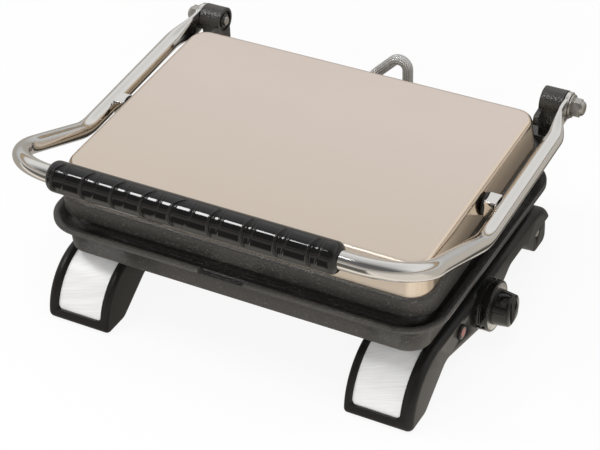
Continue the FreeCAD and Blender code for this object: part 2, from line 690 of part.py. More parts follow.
# ---------------------------------------------------------------- hinge posts
def hinge_post():
    """Right post: toe under the pan, column behind the base, lug for the handle."""
    column = side_solid([
        (POST_TOE_Y, POST_SEAT_Z),
        (POST_REAR - 12, POST_SEAT_Z),
        ((POST_REAR - 3.5, POST_SEAT_Z + 3.5), (POST_REAR, POST_SEAT_Z + 12)),
        (POST_REAR, POST_SHOULDER_Z - 6),
        ((POST_REAR - 1.8, POST_SHOULDER_Z - 1.8), (POST_REAR - 6, POST_SHOULDER_Z)),
        (LIP_REAR + 8, POST_SHOULDER_Z),
        (LIP_REAR + 2, POST_SHOULDER_Z - 8),
        (LIP_REAR + 2, LIP_TOP - LIP_T - 1.5),
        (SKIRT_REAR + 4, SKIRT_TOP + 1),
        (SKIRT_REAR + 4, RAIL_TOP - FIT_GAP),
        (POST_TOE_Y, RAIL_TOP - FIT_GAP),
        (POST_TOE_Y, POST_SEAT_Z),
    ], POST_IN, POST_OUT)
    shoulder = box(POST_OUT - 1, LUG_IN + 7, LIP_REAR + 5, POST_REAR, POST_SHOULDER_Z - 16, POST_SHOULDER_Z)
    shoulder = rounded(shoulder, 3.0, lambda e: edge_is_at(e, x=LUG_IN + 7))
    column = rounded(column, 2.0, lambda e: edge_is_at(e, x=POST_IN))
    neck = box(LUG_IN, RAIL_OUT, PIVOT_Y - LUG_R + 1.6, LUG_REAR, POST_SHOULDER_Z - 10, PIVOT_Z)
    neck = rounded(neck, 3.0, lambda e: edge_is_at(e, z=POST_SHOULDER_Z - 10))
    block = box(LUG_IN, LUG_OUT - 3, PIVOT_Y - LUG_R, LUG_REAR, PIVOT_Z - 14, PIVOT_Z)
    barrel = rod_x(LUG_IN, LUG_OUT, PIVOT_Y, PIVOT_Z, LUG_R)
    horn = stop_horn()
    post = column.fuse([shoulder, neck, block, barrel, horn]).removeSplitter()
    recess = rod_x(LUG_IN - 1, LUG_IN + 1.6, PIVOT_Y, PIVOT_Z, LUG_R - 2.4)
    hub = rod_x(LUG_IN, LUG_IN + 1.6, PIVOT_Y, PIVOT_Z, PIVOT_BOLT_R + 2.0)
    bolt_hole = rod_x(LUG_IN - 1, LUG_OUT + 1, PIVOT_Y, PIVOT_Z, PIVOT_BOLT_R)
    toe_hole = rod_z(POST_SEAT_Z - 1, POST_SEAT_Z + 5, POST_SCREW_X, POST_SCREW_Y, SCREW_R + 0.1)
    head_hole = rod_z(POST_SEAT_Z + 5, RAIL_TOP, POST_SCREW_X, POST_SCREW_Y, SCREW_HEAD_R + FIT_GAP)
    return post.cut(recess.cut(hub)).cut([bolt_hole, toe_hole, head_hole])


def stop_horn():
    """Curved horn in front of the lug, that the open lid leans towards."""
    front = PIVOT_Y - LUG_R
    return side_solid([
        (front + 2, PIVOT_Z - 1),
        (front - 9, PIVOT_Z - 3),
        ((front - 11, PIVOT_Z - 8), (front - 9, PIVOT_Z - 12)),
        ((front - 3, PIVOT_Z - 15), (front + 2, PIVOT_Z - 22)),
        (front + 2, PIVOT_Z - 1),
    ], LUG_IN, LUG_IN + 4)


def post_screw():
    head_z = POST_SEAT_Z + 5
    head = rod_z(head_z, head_z + SCREW_HEAD_H, POST_SCREW_X, POST_SCREW_Y, SCREW_HEAD_R)
    shank = rod_z(POST_SEAT_Z - 14.0, head_z, POST_SCREW_X, POST_SCREW_Y, SCREW_R)
    return head.fuse(shank)


def pivot_bolt():
    """Bolt through lug and handle tab; its round end shows on the inner side."""
    shank = rod_x(LUG_IN - 2.0, nut_face() + PIVOT_NUT_H, PIVOT_Y, PIVOT_Z, PIVOT_BOLT_R)
    return rounded(shank, 1.0, lambda e: edge_is_at(e, x=LUG_IN - 2.0))


def tab_faces():
    inner = LUG_OUT + FIT_GAP
    return inner, inner + TAB_T


def washer_face():
    return tab_faces()[1] + FIT_GAP


def nut_face():
    return washer_face() + PIVOT_WASHER_T


def pivot_washer():
    disc = rod_x(washer_face(), nut_face(), PIVOT_Y, PIVOT_Z, PIVOT_WASHER_R)
    return disc.cut(rod_x(washer_face() - 1, nut_face() + 1, PIVOT_Y, PIVOT_Z, PIVOT_BOLT_R))


def pivot_nut():
    """Domed hexagon nut."""
    x0 = nut_face()
    flats = hexagon_x(x0, x0 + PIVOT_NUT_H, PIVOT_Y, PIVOT_Z, PIVOT_NUT_FLATS)
    dome_r = PIVOT_NUT_FLATS / 2 - 0.5
    dome = rod_x(x0 + PIVOT_NUT_H, x0 + PIVOT_NUT_H + 3.0, PIVOT_Y, PIVOT_Z, dome_r)
    dome = rounded(dome, 2.6, lambda e: edge_is_at(e, x=x0 + PIVOT_NUT_H + 3.0))
    return flats.fuse(dome).cut(rod_x(x0 - 1, x0 + PIVOT_NUT_H, PIVOT_Y, PIVOT_Z, PIVOT_BOLT_R))


# ---------------------------------------------------------------- handle
def handle_path():
    """Centre line from the right arm's root, round the front bar, to the left arm's root."""
    right = [
        Vector(TUBE_X, TUBE_START_Y, tube_height(TUBE_START_Y)),
        Vector(TUBE_X, BEND_Y, BEND_Z),
        Vector(TUBE_X, BAR_Y, BAR_Z),
    ]
    left = [Vector(-p.x, p.y, p.z) for p in reversed(right)]
    return bent_path(right + left, [BEND_R, RIGHT_CORNER_R, LEFT_CORNER_R, BEND_R])


def round_section(centre, r):
    """Circle across Y made of four arcs, so that it lofts onto the flat section."""
    def at(degrees):
        a = math.radians(degrees)
        return centre + Vector(r * math.cos(a), 0, r * math.sin(a))
    arcs = []
    for start in (45, 135, 225, 315):
        arcs.append(Part.Arc(at(start), at(start + 45), at(start + 90)).toShape())
    return Part.Wire(arcs)


def flat_section(centre, half_t, half_h):
    """Flattened tube: two flat sides and two round edges."""
    c = half_t * 0.9
    h = half_h - c
    corners = [Vector(c, 0, h), Vector(-c, 0, h), Vector(-c, 0, -h), Vector(c, 0, -h)]
    corners = [centre + p for p in corners]
    crown = centre + Vector(0, 0, half_h)
    root = centre - Vector(0, 0, half_h)
    left = centre - Vector(half_t, 0, 0)
    right = centre + Vector(half_t, 0, 0)
    return Part.Wire([
        Part.Arc(corners[0], crown, corners[1]).toShape(),
        Part.Arc(corners[1], left, corners[2]).toShape(),
        Part.Arc(corners[2], root, corners[3]).toShape(),
        Part.Arc(corners[3], right, corners[0]).toShape(),
    ])


def handle_tab():
    """Flattened end of the right arm, with the hole for the pivot bolt."""
    inner, outer = tab_faces()
    plate_x = (inner + outer) / 2
    top_end = Vector(plate_x, TAB_END_Y, tube_height(TAB_END_Y))
    root = Vector(TUBE_X, TUBE_START_Y, tube_height(TUBE_START_Y))
    flare = Part.makeLoft([round_section(root, TUBE_R), flat_section(top_end, TAB_T / 2, TAB_R - 0.4)],
                          True, False)
    plate = side_solid([
        (TAB_END_Y - 0.5, tube_height(TAB_END_Y) - TAB_R + 1.2),
        (PIVOT_Y, PIVOT_Z - TAB_R),
        ((PIVOT_Y + TAB_R, PIVOT_Z), (PIVOT_Y, PIVOT_Z + TAB_R)),
        (TAB_END_Y - 0.5, tube_height(TAB_END_Y) + TAB_R - 1.2),
        (TAB_END_Y - 0.5, tube_height(TAB_END_Y) - TAB_R + 1.2),
    ], inner, outer)
    tab = flare.fuse(plate)
    return tab.cut(rod_x(inner - 1, outer + 1, PIVOT_Y, PIVOT_Z, PIVOT_BOLT_R + RUN_CLEAR))


def handle_tube():
    path = handle_path()
    tube = pipe(path, TUBE_R).cut(pipe(path, TUBE_R - TUBE_WALL))
    tab = handle_tab()
    tube = tube.fuse([tab, mirrored(tab)])
    bolt = rod_x(TUBE_X - TUBE_R - 2, TUBE_X - 1, TILT_Y, TILT_Z, TILT_BOLT_R)
    return tube.cut([bolt, mirrored(bolt)])


def handle_grip():
    """Grip as a barrel with end rounding, a bore for the bar and ring grooves."""
    half = GRIP_LEN / 2
    barrel = rod_x(-half, half, 0, 0, GRIP_R)
    barrel = rounded(barrel, GRIP_END_R, lambda e: edge_is_at(e, x=half) or edge_is_at(e, x=-half))
    cuts = [rod_x(-half - 1, half + 1, 0, 0, TUBE_R + GRIP_FIT)]
    for i in range(GRIP_GROOVES):
        x = (i - (GRIP_GROOVES - 1) / 2) * GRIP_PITCH
        ring = rod_x(x - GRIP_GROOVE_W / 2, x + GRIP_GROOVE_W / 2, 0, 0, GRIP_R + 1)
        cuts.append(ring.cut(rod_x(x - GRIP_GROOVE_W, x + GRIP_GROOVE_W, 0, 0, GRIP_R - GRIP_GROOVE_D)))
    grip = barrel.cut(cuts)
    grip.translate(Vector(0, BAR_Y, BAR_Z))
    return grip


# ---------------------------------------------------------------- lid
def cover_outline(z):
    """Outline of the cover's outer wall at a height between its bottom and its top."""
    share = (z - COVER_BOTTOM) / (COVER_TOP - COVER_BOTTOM)
    low = (COVER_X, COVER_FRONT, COVER_REAR, COVER_CORNER_R)
    high = (COVER_TOP_X, COVER_TOP_FRONT, COVER_TOP_REAR, COVER_TOP_CORNER_R)
    return tuple(a + (b - a) * share for a, b in zip(low, high)) + (z,)


def shrunk(outline, by):
    half_x, y0, y1, r, z = outline
    return (half_x - by, y0 + by, y1 - by, r - by, z)


def lid_cover():
    """Pressed stainless cover: drafted walls, rolled top edge, open below."""
    outer = tapered(cover_outline(COVER_BOTTOM), cover_outline(COVER_TOP))
    outer = rounded(outer, COVER_EDGE_R, lambda e: edge_is_at(e, z=COVER_TOP))
    roof = COVER_TOP - COVER_T
    inner = tapered(shrunk(cover_outline(COVER_BOTTOM - 1), COVER_T), shrunk(cover_outline(roof), COVER_T))
    inner = rounded(inner, COVER_EDGE_R - COVER_T, lambda e: edge_is_at(e, z=roof))
    cover = outer.cut(inner)
    side_hole = rod_x(-200, 200, 0, 0, BUSH_R)
    return in_lid(cover.cut(side_hole))


def rim_outline(z, grow=0.0):
    g = RIM_LEDGE + grow
    return (COVER_X + g, COVER_FRONT - g, COVER_REAR + g, COVER_CORNER_R + g, z)


def lug_face():
    """Outer face of the casting's side lugs, clear of the drafted wall at their top."""
    return cover_outline(LUG_TOP)[0] - COVER_T - FIT_GAP


def upper_grill_plate():
    """Casting: rim under the cover, ribbed face below, side lugs for the tilt bushes."""
    rim = slab(*rim_outline(RIM_BOTTOM), COVER_BOTTOM)
    rim = rounded(rim, 2.0, lambda e: edge_is_at(e, z=RIM_BOTTOM) or edge_is_at(e, z=COVER_BOTTOM))
    inside = slab(*rim_outline(UPPER_FLOOR, -RIM_LEDGE - RIM_WALL), COVER_BOTTOM + 1)
    body = rim.cut(inside)
    face_x = PAD_X
    y0 = COVER_FRONT + UPPER_PAD_FRONT_LAND
    y1 = COVER_REAR - UPPER_PAD_REAR_LAND
    land = UPPER_RIB_LAND
    pad = slab(face_x, y0, y1, UPPER_PAD_CORNER_R, UPPER_PAD_Z, RIM_BOTTOM + 1)
    ribs = ribbed_pad(face_x - land, y0 + land, y1 - land, UPPER_PAD_Z, UPPER_RIB_Z)
    lug_out = lug_face()
    lug = box(lug_out - SIDE_LUG_T, lug_out, -SIDE_LUG_W / 2, SIDE_LUG_W / 2, UPPER_FLOOR - 1, LUG_TOP)
    lug = rounded(lug, 5.0, lambda e: is_top_corner(e, SIDE_LUG_W / 2, LUG_TOP))
    parts = [pad, ribs, lug, mirrored(lug)]
    for x, y in clamp_places(-TILT_Y):
        parts.append(rod_z(UPPER_FLOOR - 1, UPPER_FLOOR + 2 * HEATER_R, x, y, BOSS_R - 1.0))
    body = body.fuse(parts).removeSplitter()
    holes = [rod_x(-200, 200, 0, 0, BUSH_R)]
    for x, y in clamp_places(-TILT_Y):
        holes.append(rod_z(UPPER_FLOOR + 1.0, UPPER_FLOOR + 2 * HEATER_R + 1, x, y, CLAMP_SCREW_R))
    holes.append(rod_y(COVER_REAR - 12, COVER_REAR + 8, LID_GLAND_X, LID_GLAND_Z, GLAND_R - 3.0))
    return in_lid(body.cut(holes))


def is_top_corner(e, half_w, top):
    b = e.BoundBox
    at_side = abs(abs(b.YMin) - half_w) < 0.01 and b.YLength < 0.01
    return at_side and abs(b.ZMin - top) < 0.01 and b.ZLength < 0.01


def bush_seat():
    """Where the bush's flange begins, just clear of the drafted wall."""
    return cover_outline(-BUSH_FLANGE_R)[0] + 0.1


def tilt_bush():
    """Flanged bush in the cover's side wall and the casting's lug."""
    seat = bush_seat()
    lug_in = lug_face() - SIDE_LUG_T
    body = rod_x(lug_in, seat, 0, 0, BUSH_R)
    flange = rod_x(seat, seat + BUSH_FLANGE_T, 0, 0, BUSH_FLANGE_R)
    bush = body.fuse(flange)
    return in_lid(bush.cut(rod_x(lug_in - 1, seat + 5, 0, 0, TILT_BOLT_R + RUN_CLEAR)))


def standoff_faces():
    inner = bush_seat() + BUSH_FLANGE_T + FIT_GAP
    return inner, TUBE_X - TUBE_R + 1.0


def standoff():
    """Square block between the lid and the arm, hollowed to sit on the tube."""
    x0, x1 = standoff_faces()
    half = STANDOFF_FLATS / 2
    block = box(x0, x1, TILT_Y - half, TILT_Y + half, TILT_Z - half, TILT_Z + half)
    block = block.makeFillet(0.8, [e for e in block.Edges if e.BoundBox.XLength > 1.0])
    arm = pipe(Part.Wire([Part.makeLine(Vector(TUBE_X, TILT_Y - 30, tube_height(TILT_Y - 30)),
                                        Vector(TUBE_X, TILT_Y + 30, tube_height(TILT_Y + 30)))]), TUBE_R)
    return block.cut([arm, rod_x(x0 - 1, x1 + 1, TILT_Y, TILT_Z, TILT_BOLT_R)])


def tilt_bolt():
    """Bolt with its head inside the lid, screwed through the block into the arm."""
    lug_in = lug_face() - SIDE_LUG_T
    head_out = lug_in - FIT_GAP
    head = rod_x(head_out - TILT_BOLT_HEAD_H, head_out, TILT_Y, TILT_Z, TILT_BOLT_HEAD_R)
    return head.fuse(rod_x(head_out, TUBE_X - 2, TILT_Y, TILT_Z, TILT_BOLT_R))


# ---------------------------------------------------------------- heating elements
CLAMP_SCREW_R = 1.5


def heater_loop(y_shift, z, ends_down):
    """Tubular element: a loop whose two cold ends turn away from the plate."""
    y0 = HEATER_FRONT + y_shift
    y1 = HEATER_REAR + y_shift
    end = Vector(0, 0, -HEATER_TAIL if ends_down else HEATER_TAIL)
    points = [
        Vector(-HEATER_END_X, y1, z),
        Vector(-HEATER_X, y1, z),
        Vector(-HEATER_X, y0, z),
        Vector(HEATER_X, y0, z),
        Vector(HEATER_X, y1, z),
        Vector(HEATER_END_X, y1, z),
    ]
    points = [points[0] + end] + points + [points[-1] + end]
    radii = [HEATER_END_R] + [HEATER_BEND_R] * 4 + [HEATER_END_R]
    return pipe(bent_path(points, radii), HEATER_R)


def clamp_places(y_shift):
    """Centres of the clamp screws, beside the long runs of an element."""
    mid = (HEATER_FRONT + HEATER_REAR) / 2 + y_shift
    front = HEATER_FRONT + y_shift
    beside = HEATER_R + BOSS_R + 1.0
    return [(-HEATER_X + beside, mid), (HEATER_X - beside, mid), (0.0, front + beside)]


def clamp_bridge(along_x, z0, z1):
    """Bent strip over the element: a foot on its boss and an arm over the tube."""
    reach = HEATER_R * 2 + BOSS_R + 3.0
    strip = box(-CLAMP_W / 2, CLAMP_W / 2, -BOSS_R + 0.5, reach, z0, z1)
    strip = strip.cut(rod_z(z0 - 1, z1 + 1, 0, 0, CLAMP_SCREW_R + 0.1))
    if along_x:
        return strip
    strip.rotate(Vector(0, 0, 0), Vector(0, 0, 1), -90)
    return strip


def element_clamps(y_shift, seat_z, away):
    """Three strips with their screws; away is +1 where they lie above the element."""
    z0, z1 = sorted((seat_z, seat_z + away * CLAMP_T))
    pieces = []
    for x, y in clamp_places(y_shift):
        side = 0 if x == 0.0 else (1 if x > 0 else -1)
        strip = clamp_bridge(side == 0, z0, z1)
        if side == 0:
            strip.rotate(Vector(0, 0, 0), Vector(0, 0, 1), 180)
        elif side < 0:
            strip.rotate(Vector(0, 0, 0), Vector(0, 0, 1), 180)
        strip.translate(Vector(x, y, 0))
        pieces.append(strip)
    return pieces


def clamp_screws(y_shift, seat_z, away):
    """Screws of the three clamp strips."""
    outer = seat_z + away * CLAMP_T
    head = sorted((outer, outer + away * CLAMP_HEAD_H))
    shank = sorted((outer, seat_z - away * CLAMP_SCREW_LEN))
    screws = []
    for x, y in clamp_places(y_shift):
        screws.append(rod_z(*head, x, y, CLAMP_HEAD_R).fuse(rod_z(*shank, x, y, CLAMP_SCREW_R)))
    return screws


def lower_heater():
    return heater_loop(0.0, PLATE_UNDER - HEATER_R, True)


def upper_heater():
    return in_lid(heater_loop(-TILT_Y, UPPER_FLOOR + HEATER_R, False))


def lower_clamps():
    return Part.makeCompound(element_clamps(0.0, PLATE_UNDER - 2 * HEATER_R, -1))


def lower_clamp_screws():
    return Part.makeCompound(clamp_screws(0.0, PLATE_UNDER - 2 * HEATER_R, -1))


def upper_clamps():
    pieces = element_clamps(-TILT_Y, UPPER_FLOOR + 2 * HEATER_R, 1)
    return Part.makeCompound([in_lid(p) for p in pieces])


def upper_clamp_screws():
    pieces = clamp_screws(-TILT_Y, UPPER_FLOOR + 2 * HEATER_R, 1)
    return Part.makeCompound([in_lid(p) for p in pieces])


# ---------------------------------------------------------------- thermostat and lamp
THERMO_NECK_R = 5.0


def thermostat_body():
    """Regulator in the belly of the right rail, its neck through the rail's wall."""
    x1 = RAIL_OUT - RAIL_WALL
    x0 = x1 - THERMO_LEN
    half = THERMO_SIZE / 2
    case = box(x0, x1, DIAL_Y - half, DIAL_Y + half, DIAL_Z - half - 1, DIAL_Z + half - 1)
    case = case.makeFillet(2.0, [e for e in case.Edges if e.BoundBox.XLength > 1.0])
    neck = rod_x(x1, RAIL_OUT + 4.0, DIAL_Y, DIAL_Z, THERMO_NECK_R)
    tabs = []
    for y in (-7.0, 7.0):
        tabs.append(box(x0 - 8, x0, DIAL_Y + y - 3, DIAL_Y + y + 3, DIAL_Z - 0.4, DIAL_Z + 0.4))
    body = case.fuse([neck] + tabs)
    return body.cut(rod_x(x0 + 4, RAIL_OUT + 5, DIAL_Y, DIAL_Z, SHAFT_R + RUN_CLEAR))


def thermostat_collar():
    """Stepped black collar with a ring groove, notches and a seat for the scale ring."""
    x0 = RAIL_OUT
    x1 = RAIL_OUT + COLLAR_LEN
    collar = rod_x(x0, x1, DIAL_Y, DIAL_Z, COLLAR_R)
    collar = rounded(collar, 1.0, lambda e: edge_is_at(e, x=x1))
    groove = rod_x(x0 + 4.5, x0 + 6.0, DIAL_Y, DIAL_Z, COLLAR_R + 1)
    groove = groove.cut(rod_x(x0 + 4, x0 + 7, DIAL_Y, DIAL_Z, COLLAR_R - 1.6))
    cuts = [groove]
    cuts.append(rod_x(x1 - RING_T, x1 + 1, DIAL_Y, DIAL_Z, RING_R + 0.1))
    cuts.append(rod_x(x0 - 1, x1 + 1, DIAL_Y, DIAL_Z, THERMO_NECK_R + 0.1))
    for degrees in (60, 95, 205):
        notch = box(x0 + 1.5, x0 + 9.5, -2.2, 2.2, COLLAR_R - 1.2, COLLAR_R + 2)
        notch.rotate(Vector(0, 0, 0), Vector(1, 0, 0), degrees - 90)
        notch.translate(Vector(0, DIAL_Y, DIAL_Z))
        cuts.append(notch)
    return collar.cut(cuts)


def dial_ring():
    """Scale ring in the face of the collar."""
    x1 = RAIL_OUT + COLLAR_LEN
    ring = rod_x(x1 - RING_T, x1, DIAL_Y, DIAL_Z, RING_R)
    return ring.cut(rod_x(x1 - RING_T - 1, x1 + 1, DIAL_Y, DIAL_Z, RING_IN_R - 2.0))


def control_knob():
    """Tapered knob with a raised bar across its face, and the shaft that it turns."""
    x0 = RAIL_OUT + COLLAR_LEN + FIT_GAP
    body = Part.makeCone(KNOB_R, KNOB_TIP_R, KNOB_LEN, Vector(x0, DIAL_Y, DIAL_Z), Vector(1, 0, 0))
    scoops = []
    for side in (-1, 1):
        y0, y1 = sorted((side * KNOB_BAR_W / 2, side * 30))
        scoops.append(box(x0 + KNOB_LEN - KNOB_BAR_H, x0 + KNOB_LEN + 1, DIAL_Y + y0, DIAL_Y + y1,
                          DIAL_Z - 30, DIAL_Z + 30))
    body = body.cut(scoops)
    body = body.common(Part.makeSphere(KNOB_DOME_R, Vector(x0 + KNOB_LEN - KNOB_DOME_R, DIAL_Y, DIAL_Z)))
    shaft = rod_x(RAIL_OUT - RAIL_WALL - THERMO_LEN + 5, x0 + 1, DIAL_Y, DIAL_Z, SHAFT_R)
    return body.fuse(shaft)


def lamp_lens():
    """Red lens with a low dome, let into the rail's face."""
    x0 = RAIL_OUT - 1.0
    lens = rod_x(x0, RAIL_OUT + LAMP_DOME, LAMP_Y, LAMP_Z, LAMP_R)
    return rounded(lens, LAMP_DOME - 0.2, lambda e: edge_is_at(e, x=RAIL_OUT + LAMP_DOME))


def lamp_body():
    x1 = RAIL_OUT - 1.0
    sleeve = rod_x(x1 - 18, x1, LAMP_Y, LAMP_Z, LAMP_R - 1.0)
    nut = rod_x(RAIL_OUT - RAIL_WALL - 3, RAIL_OUT - RAIL_WALL, LAMP_Y, LAMP_Z, LAMP_R + 2.0)
    return sleeve.fuse(nut)


# ---------------------------------------------------------------- conduit and glands
def gland(x, y, z):
    """Cable gland: hexagon against the wall, round cap with a bore, stub inside."""
    collar = Part.makeCylinder(GLAND_R, 5.0, Vector(x, y, z), Vector(0, 1, 0))
    cap = Part.makeCone(GLAND_R - 0.6, GLAND_R - 2.4, GLAND_LEN - 5.0, Vector(x, y + 5.0, z), Vector(0, 1, 0))
    stub = rod_y(y - 9.0, y, x, z, GLAND_R - 3.0)
    nut = rod_y(y - 9.0, y - 6.0, x, z, GLAND_R)
    body = collar.fuse([cap, stub])
    return body.cut(rod_y(y - 10, y + GLAND_LEN + 1, x, z, CONDUIT_R - 1.5)), nut


def base_gland():
    y = SKIRT_REAR + SKIRT_DRAFT
    body, _ = gland(CONDUIT_X, y, CONDUIT_BASE_Z)
    return body


def inlet_gland():
    y = SKIRT_REAR + SKIRT_DRAFT
    body, _ = gland(INLET_X, y, CONDUIT_BASE_Z)
    return body


def lid_gland():
    body, _ = gland(LID_GLAND_X, COVER_REAR + RIM_LEDGE, LID_GLAND_Z)
    return in_lid(body)


def conduit():
    """Flexible conduit: back from the lid, up in a tight arch, down to the base."""
    lid_end = Vector(LID_GLAND_X, COVER_REAR + RIM_LEDGE + GLAND_LEN, LID_GLAND_Z)
    lid_end = in_lid(Part.Vertex(lid_end)).Point
    along = FreeCAD.Rotation(Vector(1, 0, 0), TILT_DEG).multVec(Vector(0, 1, 0))
    corner = lid_end + along * ((CONDUIT_Y - lid_end.y) / along.y)
    rise = CONDUIT_X - corner.x
    base_y = SKIRT_REAR + SKIRT_DRAFT + GLAND_LEN
    points = [
        lid_end,
        corner,
        Vector(CONDUIT_X, CONDUIT_Y, corner.z + rise),
        Vector(CONDUIT_X, CONDUIT_Y, CONDUIT_BASE_Z),
        Vector(CONDUIT_X, base_y, CONDUIT_BASE_Z),
    ]
    radii = [11.0, CONDUIT_ARCH_R, 14.0]
    path = bent_path(points, radii)
    hose = pipe(path, CONDUIT_R)
    print("conduit radii", radii, "length", round(path.Length, 1))
    return hose


TERMINAL_X = 22.0       # half length
TERMINAL_REAR = -14.0
TERMINAL_W = 16.0
TERMINAL_H = 13.0
TERMINAL_PITCH = 14.0
TERMINAL_SCREW_IN = 4.0
WIRE_R = 2.2
WIRE_UP = 5.0
TERMINAL_SCREW_R = 1.8


def terminal_block():
    """Ceramic terminal block on the pan, behind the element."""
    front = TERMINAL_REAR - TERMINAL_W
    seat = RAIL_TOP + PAN_T
    top = seat + TERMINAL_H
    block = box(-TERMINAL_X, TERMINAL_X, front, TERMINAL_REAR, seat, top)
    holes = []
    for x in (-TERMINAL_PITCH, 0, TERMINAL_PITCH):
        holes.append(rod_y(front - 1, TERMINAL_REAR + 1, x, seat + WIRE_UP, WIRE_R))
        for y in (front + TERMINAL_SCREW_IN, TERMINAL_REAR - TERMINAL_SCREW_IN):
            holes.append(rod_z(top - TERMINAL_SCREW_IN, top + 1, x, y, TERMINAL_SCREW_R))
    return block.cut(holes)


# ---------------------------------------------------------------- all pieces
def pair(name, right_piece):
    return {name + "_right": right_piece, name + "_left": mirrored(right_piece)}


def build_all():
    pieces = {
        "lower_grill_plate": lower_grill_plate(),
        "base_pan": base_pan(),
        "side_rail_left": left_rail(),
        "side_rail_right": right_rail(),
        "rail_screws": rail_screws(),
        "handle_tube": handle_tube(),
        "handle_grip": handle_grip(),
        "lid_cover": lid_cover(),
        "upper_grill_plate": upper_grill_plate(),
        "lower_heating_element": lower_heater(),
        "lower_element_clamps": lower_clamps(),
        "lower_clamp_screws": lower_clamp_screws(),
        "upper_heating_element": upper_heater(),
        "upper_element_clamps": upper_clamps(),
        "upper_clamp_screws": upper_clamp_screws(),
        "thermostat_body": thermostat_body(),
        "thermostat_collar": thermostat_collar(),
        "dial_ring": dial_ring(),
        "control_knob": control_knob(),
        "pilot_lamp_lens": lamp_lens(),
        "pilot_lamp_body": lamp_body(),
        "terminal_block": terminal_block(),
        "conduit": conduit(),
        "conduit_gland_base": base_gland(),
        "conduit_gland_lid": lid_gland(),
        "mains_inlet_gland": inlet_gland(),
    }
    pieces.update(pair("foot_inlay", inlay()))
    pieces.update(pair("rubber_foot_front", rubber_foot(RUBBER_FRONT_Y)))
    pieces.update(pair("rubber_foot_rear", rubber_foot(RUBBER_REAR_Y)))
    pieces.update(pair("hinge_post", hinge_post()))
    pieces.update(pair("post_screw", post_screw()))
    pieces.update(pair("rear_foot_screw", foot_screw()))
    pieces.update(pair("pivot_bolt", pivot_bolt()))
    pieces.update(pair("pivot_washer", pivot_washer()))
    pieces.update(pair("pivot_nut", pivot_nut()))
    pieces.update(pair("tilt_bush", tilt_bush()))
    pieces.update(pair("tilt_standoff", standoff()))
    pieces.update(pair("tilt_bolt", tilt_bolt()))
    return pieces


def main():
    pieces = build_all()
    whole = Part.makeCompound(list(pieces.values())).optimalBoundingBox(False, False)
    origin = Vector((whole.XMin + whole.XMax) / 2, (whole.YMin + whole.YMax) / 2, whole.ZMin)
    print("origin", [round(v, 4) for v in origin])
    print("size", [round(v, 2) for v in (whole.XLength, whole.YLength, whole.ZLength)])
    for name, shape in pieces.items():
        placed = shape.copy()
        placed.translate(origin * -1)
        if not placed.isValid():
            print("not valid:", name)
        placed.exportStep("parts/" + name + ".step")
    print(len(pieces), "pieces")


main()
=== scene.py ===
import json
import math

import bmesh
import bpy
from bpy.props import FloatProperty, FloatVectorProperty, IntProperty, PointerProperty
from bpy.types import Operator, Panel, PropertyGroup
from mathutils import Matrix, Vector


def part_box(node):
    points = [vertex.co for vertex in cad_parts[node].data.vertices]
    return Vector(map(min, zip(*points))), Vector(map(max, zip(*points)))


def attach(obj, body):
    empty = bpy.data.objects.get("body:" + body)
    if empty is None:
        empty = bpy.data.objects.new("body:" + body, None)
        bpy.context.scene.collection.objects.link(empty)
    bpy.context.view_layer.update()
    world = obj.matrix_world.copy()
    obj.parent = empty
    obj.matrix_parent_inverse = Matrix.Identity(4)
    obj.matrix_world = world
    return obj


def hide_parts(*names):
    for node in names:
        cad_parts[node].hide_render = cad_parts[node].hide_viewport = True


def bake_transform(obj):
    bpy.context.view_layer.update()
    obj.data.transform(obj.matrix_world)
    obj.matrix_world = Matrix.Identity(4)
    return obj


bl_info = {
    "name": "Contact Grill Dressing",
    "version": (1, 0, 0),
    "blender": (4, 5, 0),
    "location": "View3D > Sidebar > Grill",
    "description": "Dresses the packed contact grill with finished pieces and materials",
    "category": "Object",
}

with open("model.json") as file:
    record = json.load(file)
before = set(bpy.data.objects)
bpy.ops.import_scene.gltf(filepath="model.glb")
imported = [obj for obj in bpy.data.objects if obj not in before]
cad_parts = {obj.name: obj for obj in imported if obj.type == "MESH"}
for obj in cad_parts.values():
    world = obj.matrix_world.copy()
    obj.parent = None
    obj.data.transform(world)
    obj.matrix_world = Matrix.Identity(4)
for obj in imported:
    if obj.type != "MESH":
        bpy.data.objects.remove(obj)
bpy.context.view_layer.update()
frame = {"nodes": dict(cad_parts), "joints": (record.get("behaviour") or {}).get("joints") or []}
JOINTS = {joint["name"]: joint for joint in frame["joints"]}
SIDES = ("left", "right")
MM = 0.001
FULL_TURN = 2 * math.pi
WELD = 1e-6                     # vertices nearer to each other than this become one
WHITE = (1.0, 1.0, 1.0)

# Degrees between two faces from which the edge between them is drawn sharp.
SHARP_FITTING = 30.0
SHARP_MOULDING = 32.0
SHARP_SHEET = 35.0
SHARP_TUBE = 40.0
SHARP_GRIP = 60.0

# Rounding that a Bevel modifier gives to the edges of some pieces.
EASE_SEGMENTS = 2
EASE_FROM_DEGREES = 40

# Camera: the angles are azimuth, elevation and roll in degrees.
CAMERA_LENS_MM = 117.8
CAMERA_SENSOR_MM = 36.0
CAMERA_SIGHT = 20.0             # farthest distance that it shows, in metres
CAMERA_ANGLES = (29.51, 36.03, -2.29)
CAMERA_FROM_GRIP = (0.6210, -0.9422)
CAMERA_HEIGHT = 0.9728

# Lamps: name, place, aim, width, depth, setting of the power, and whether bright metal shows it.
LAMPS = (
    ("key", (0.30, -0.35, 1.9), (0.0, 0.0, 0.1), 1.1, 0.55, "key_energy", False),
    ("strip", (-0.84, -0.66, 1.72), (-0.02, -0.15, 0.17), 0.42, 0.34, "strip_energy", True),
    ("fill", (0.9, -1.9, 0.9), (0.0, 0.0, 0.08), 1.2, 1.0, "fill_energy", False),
)

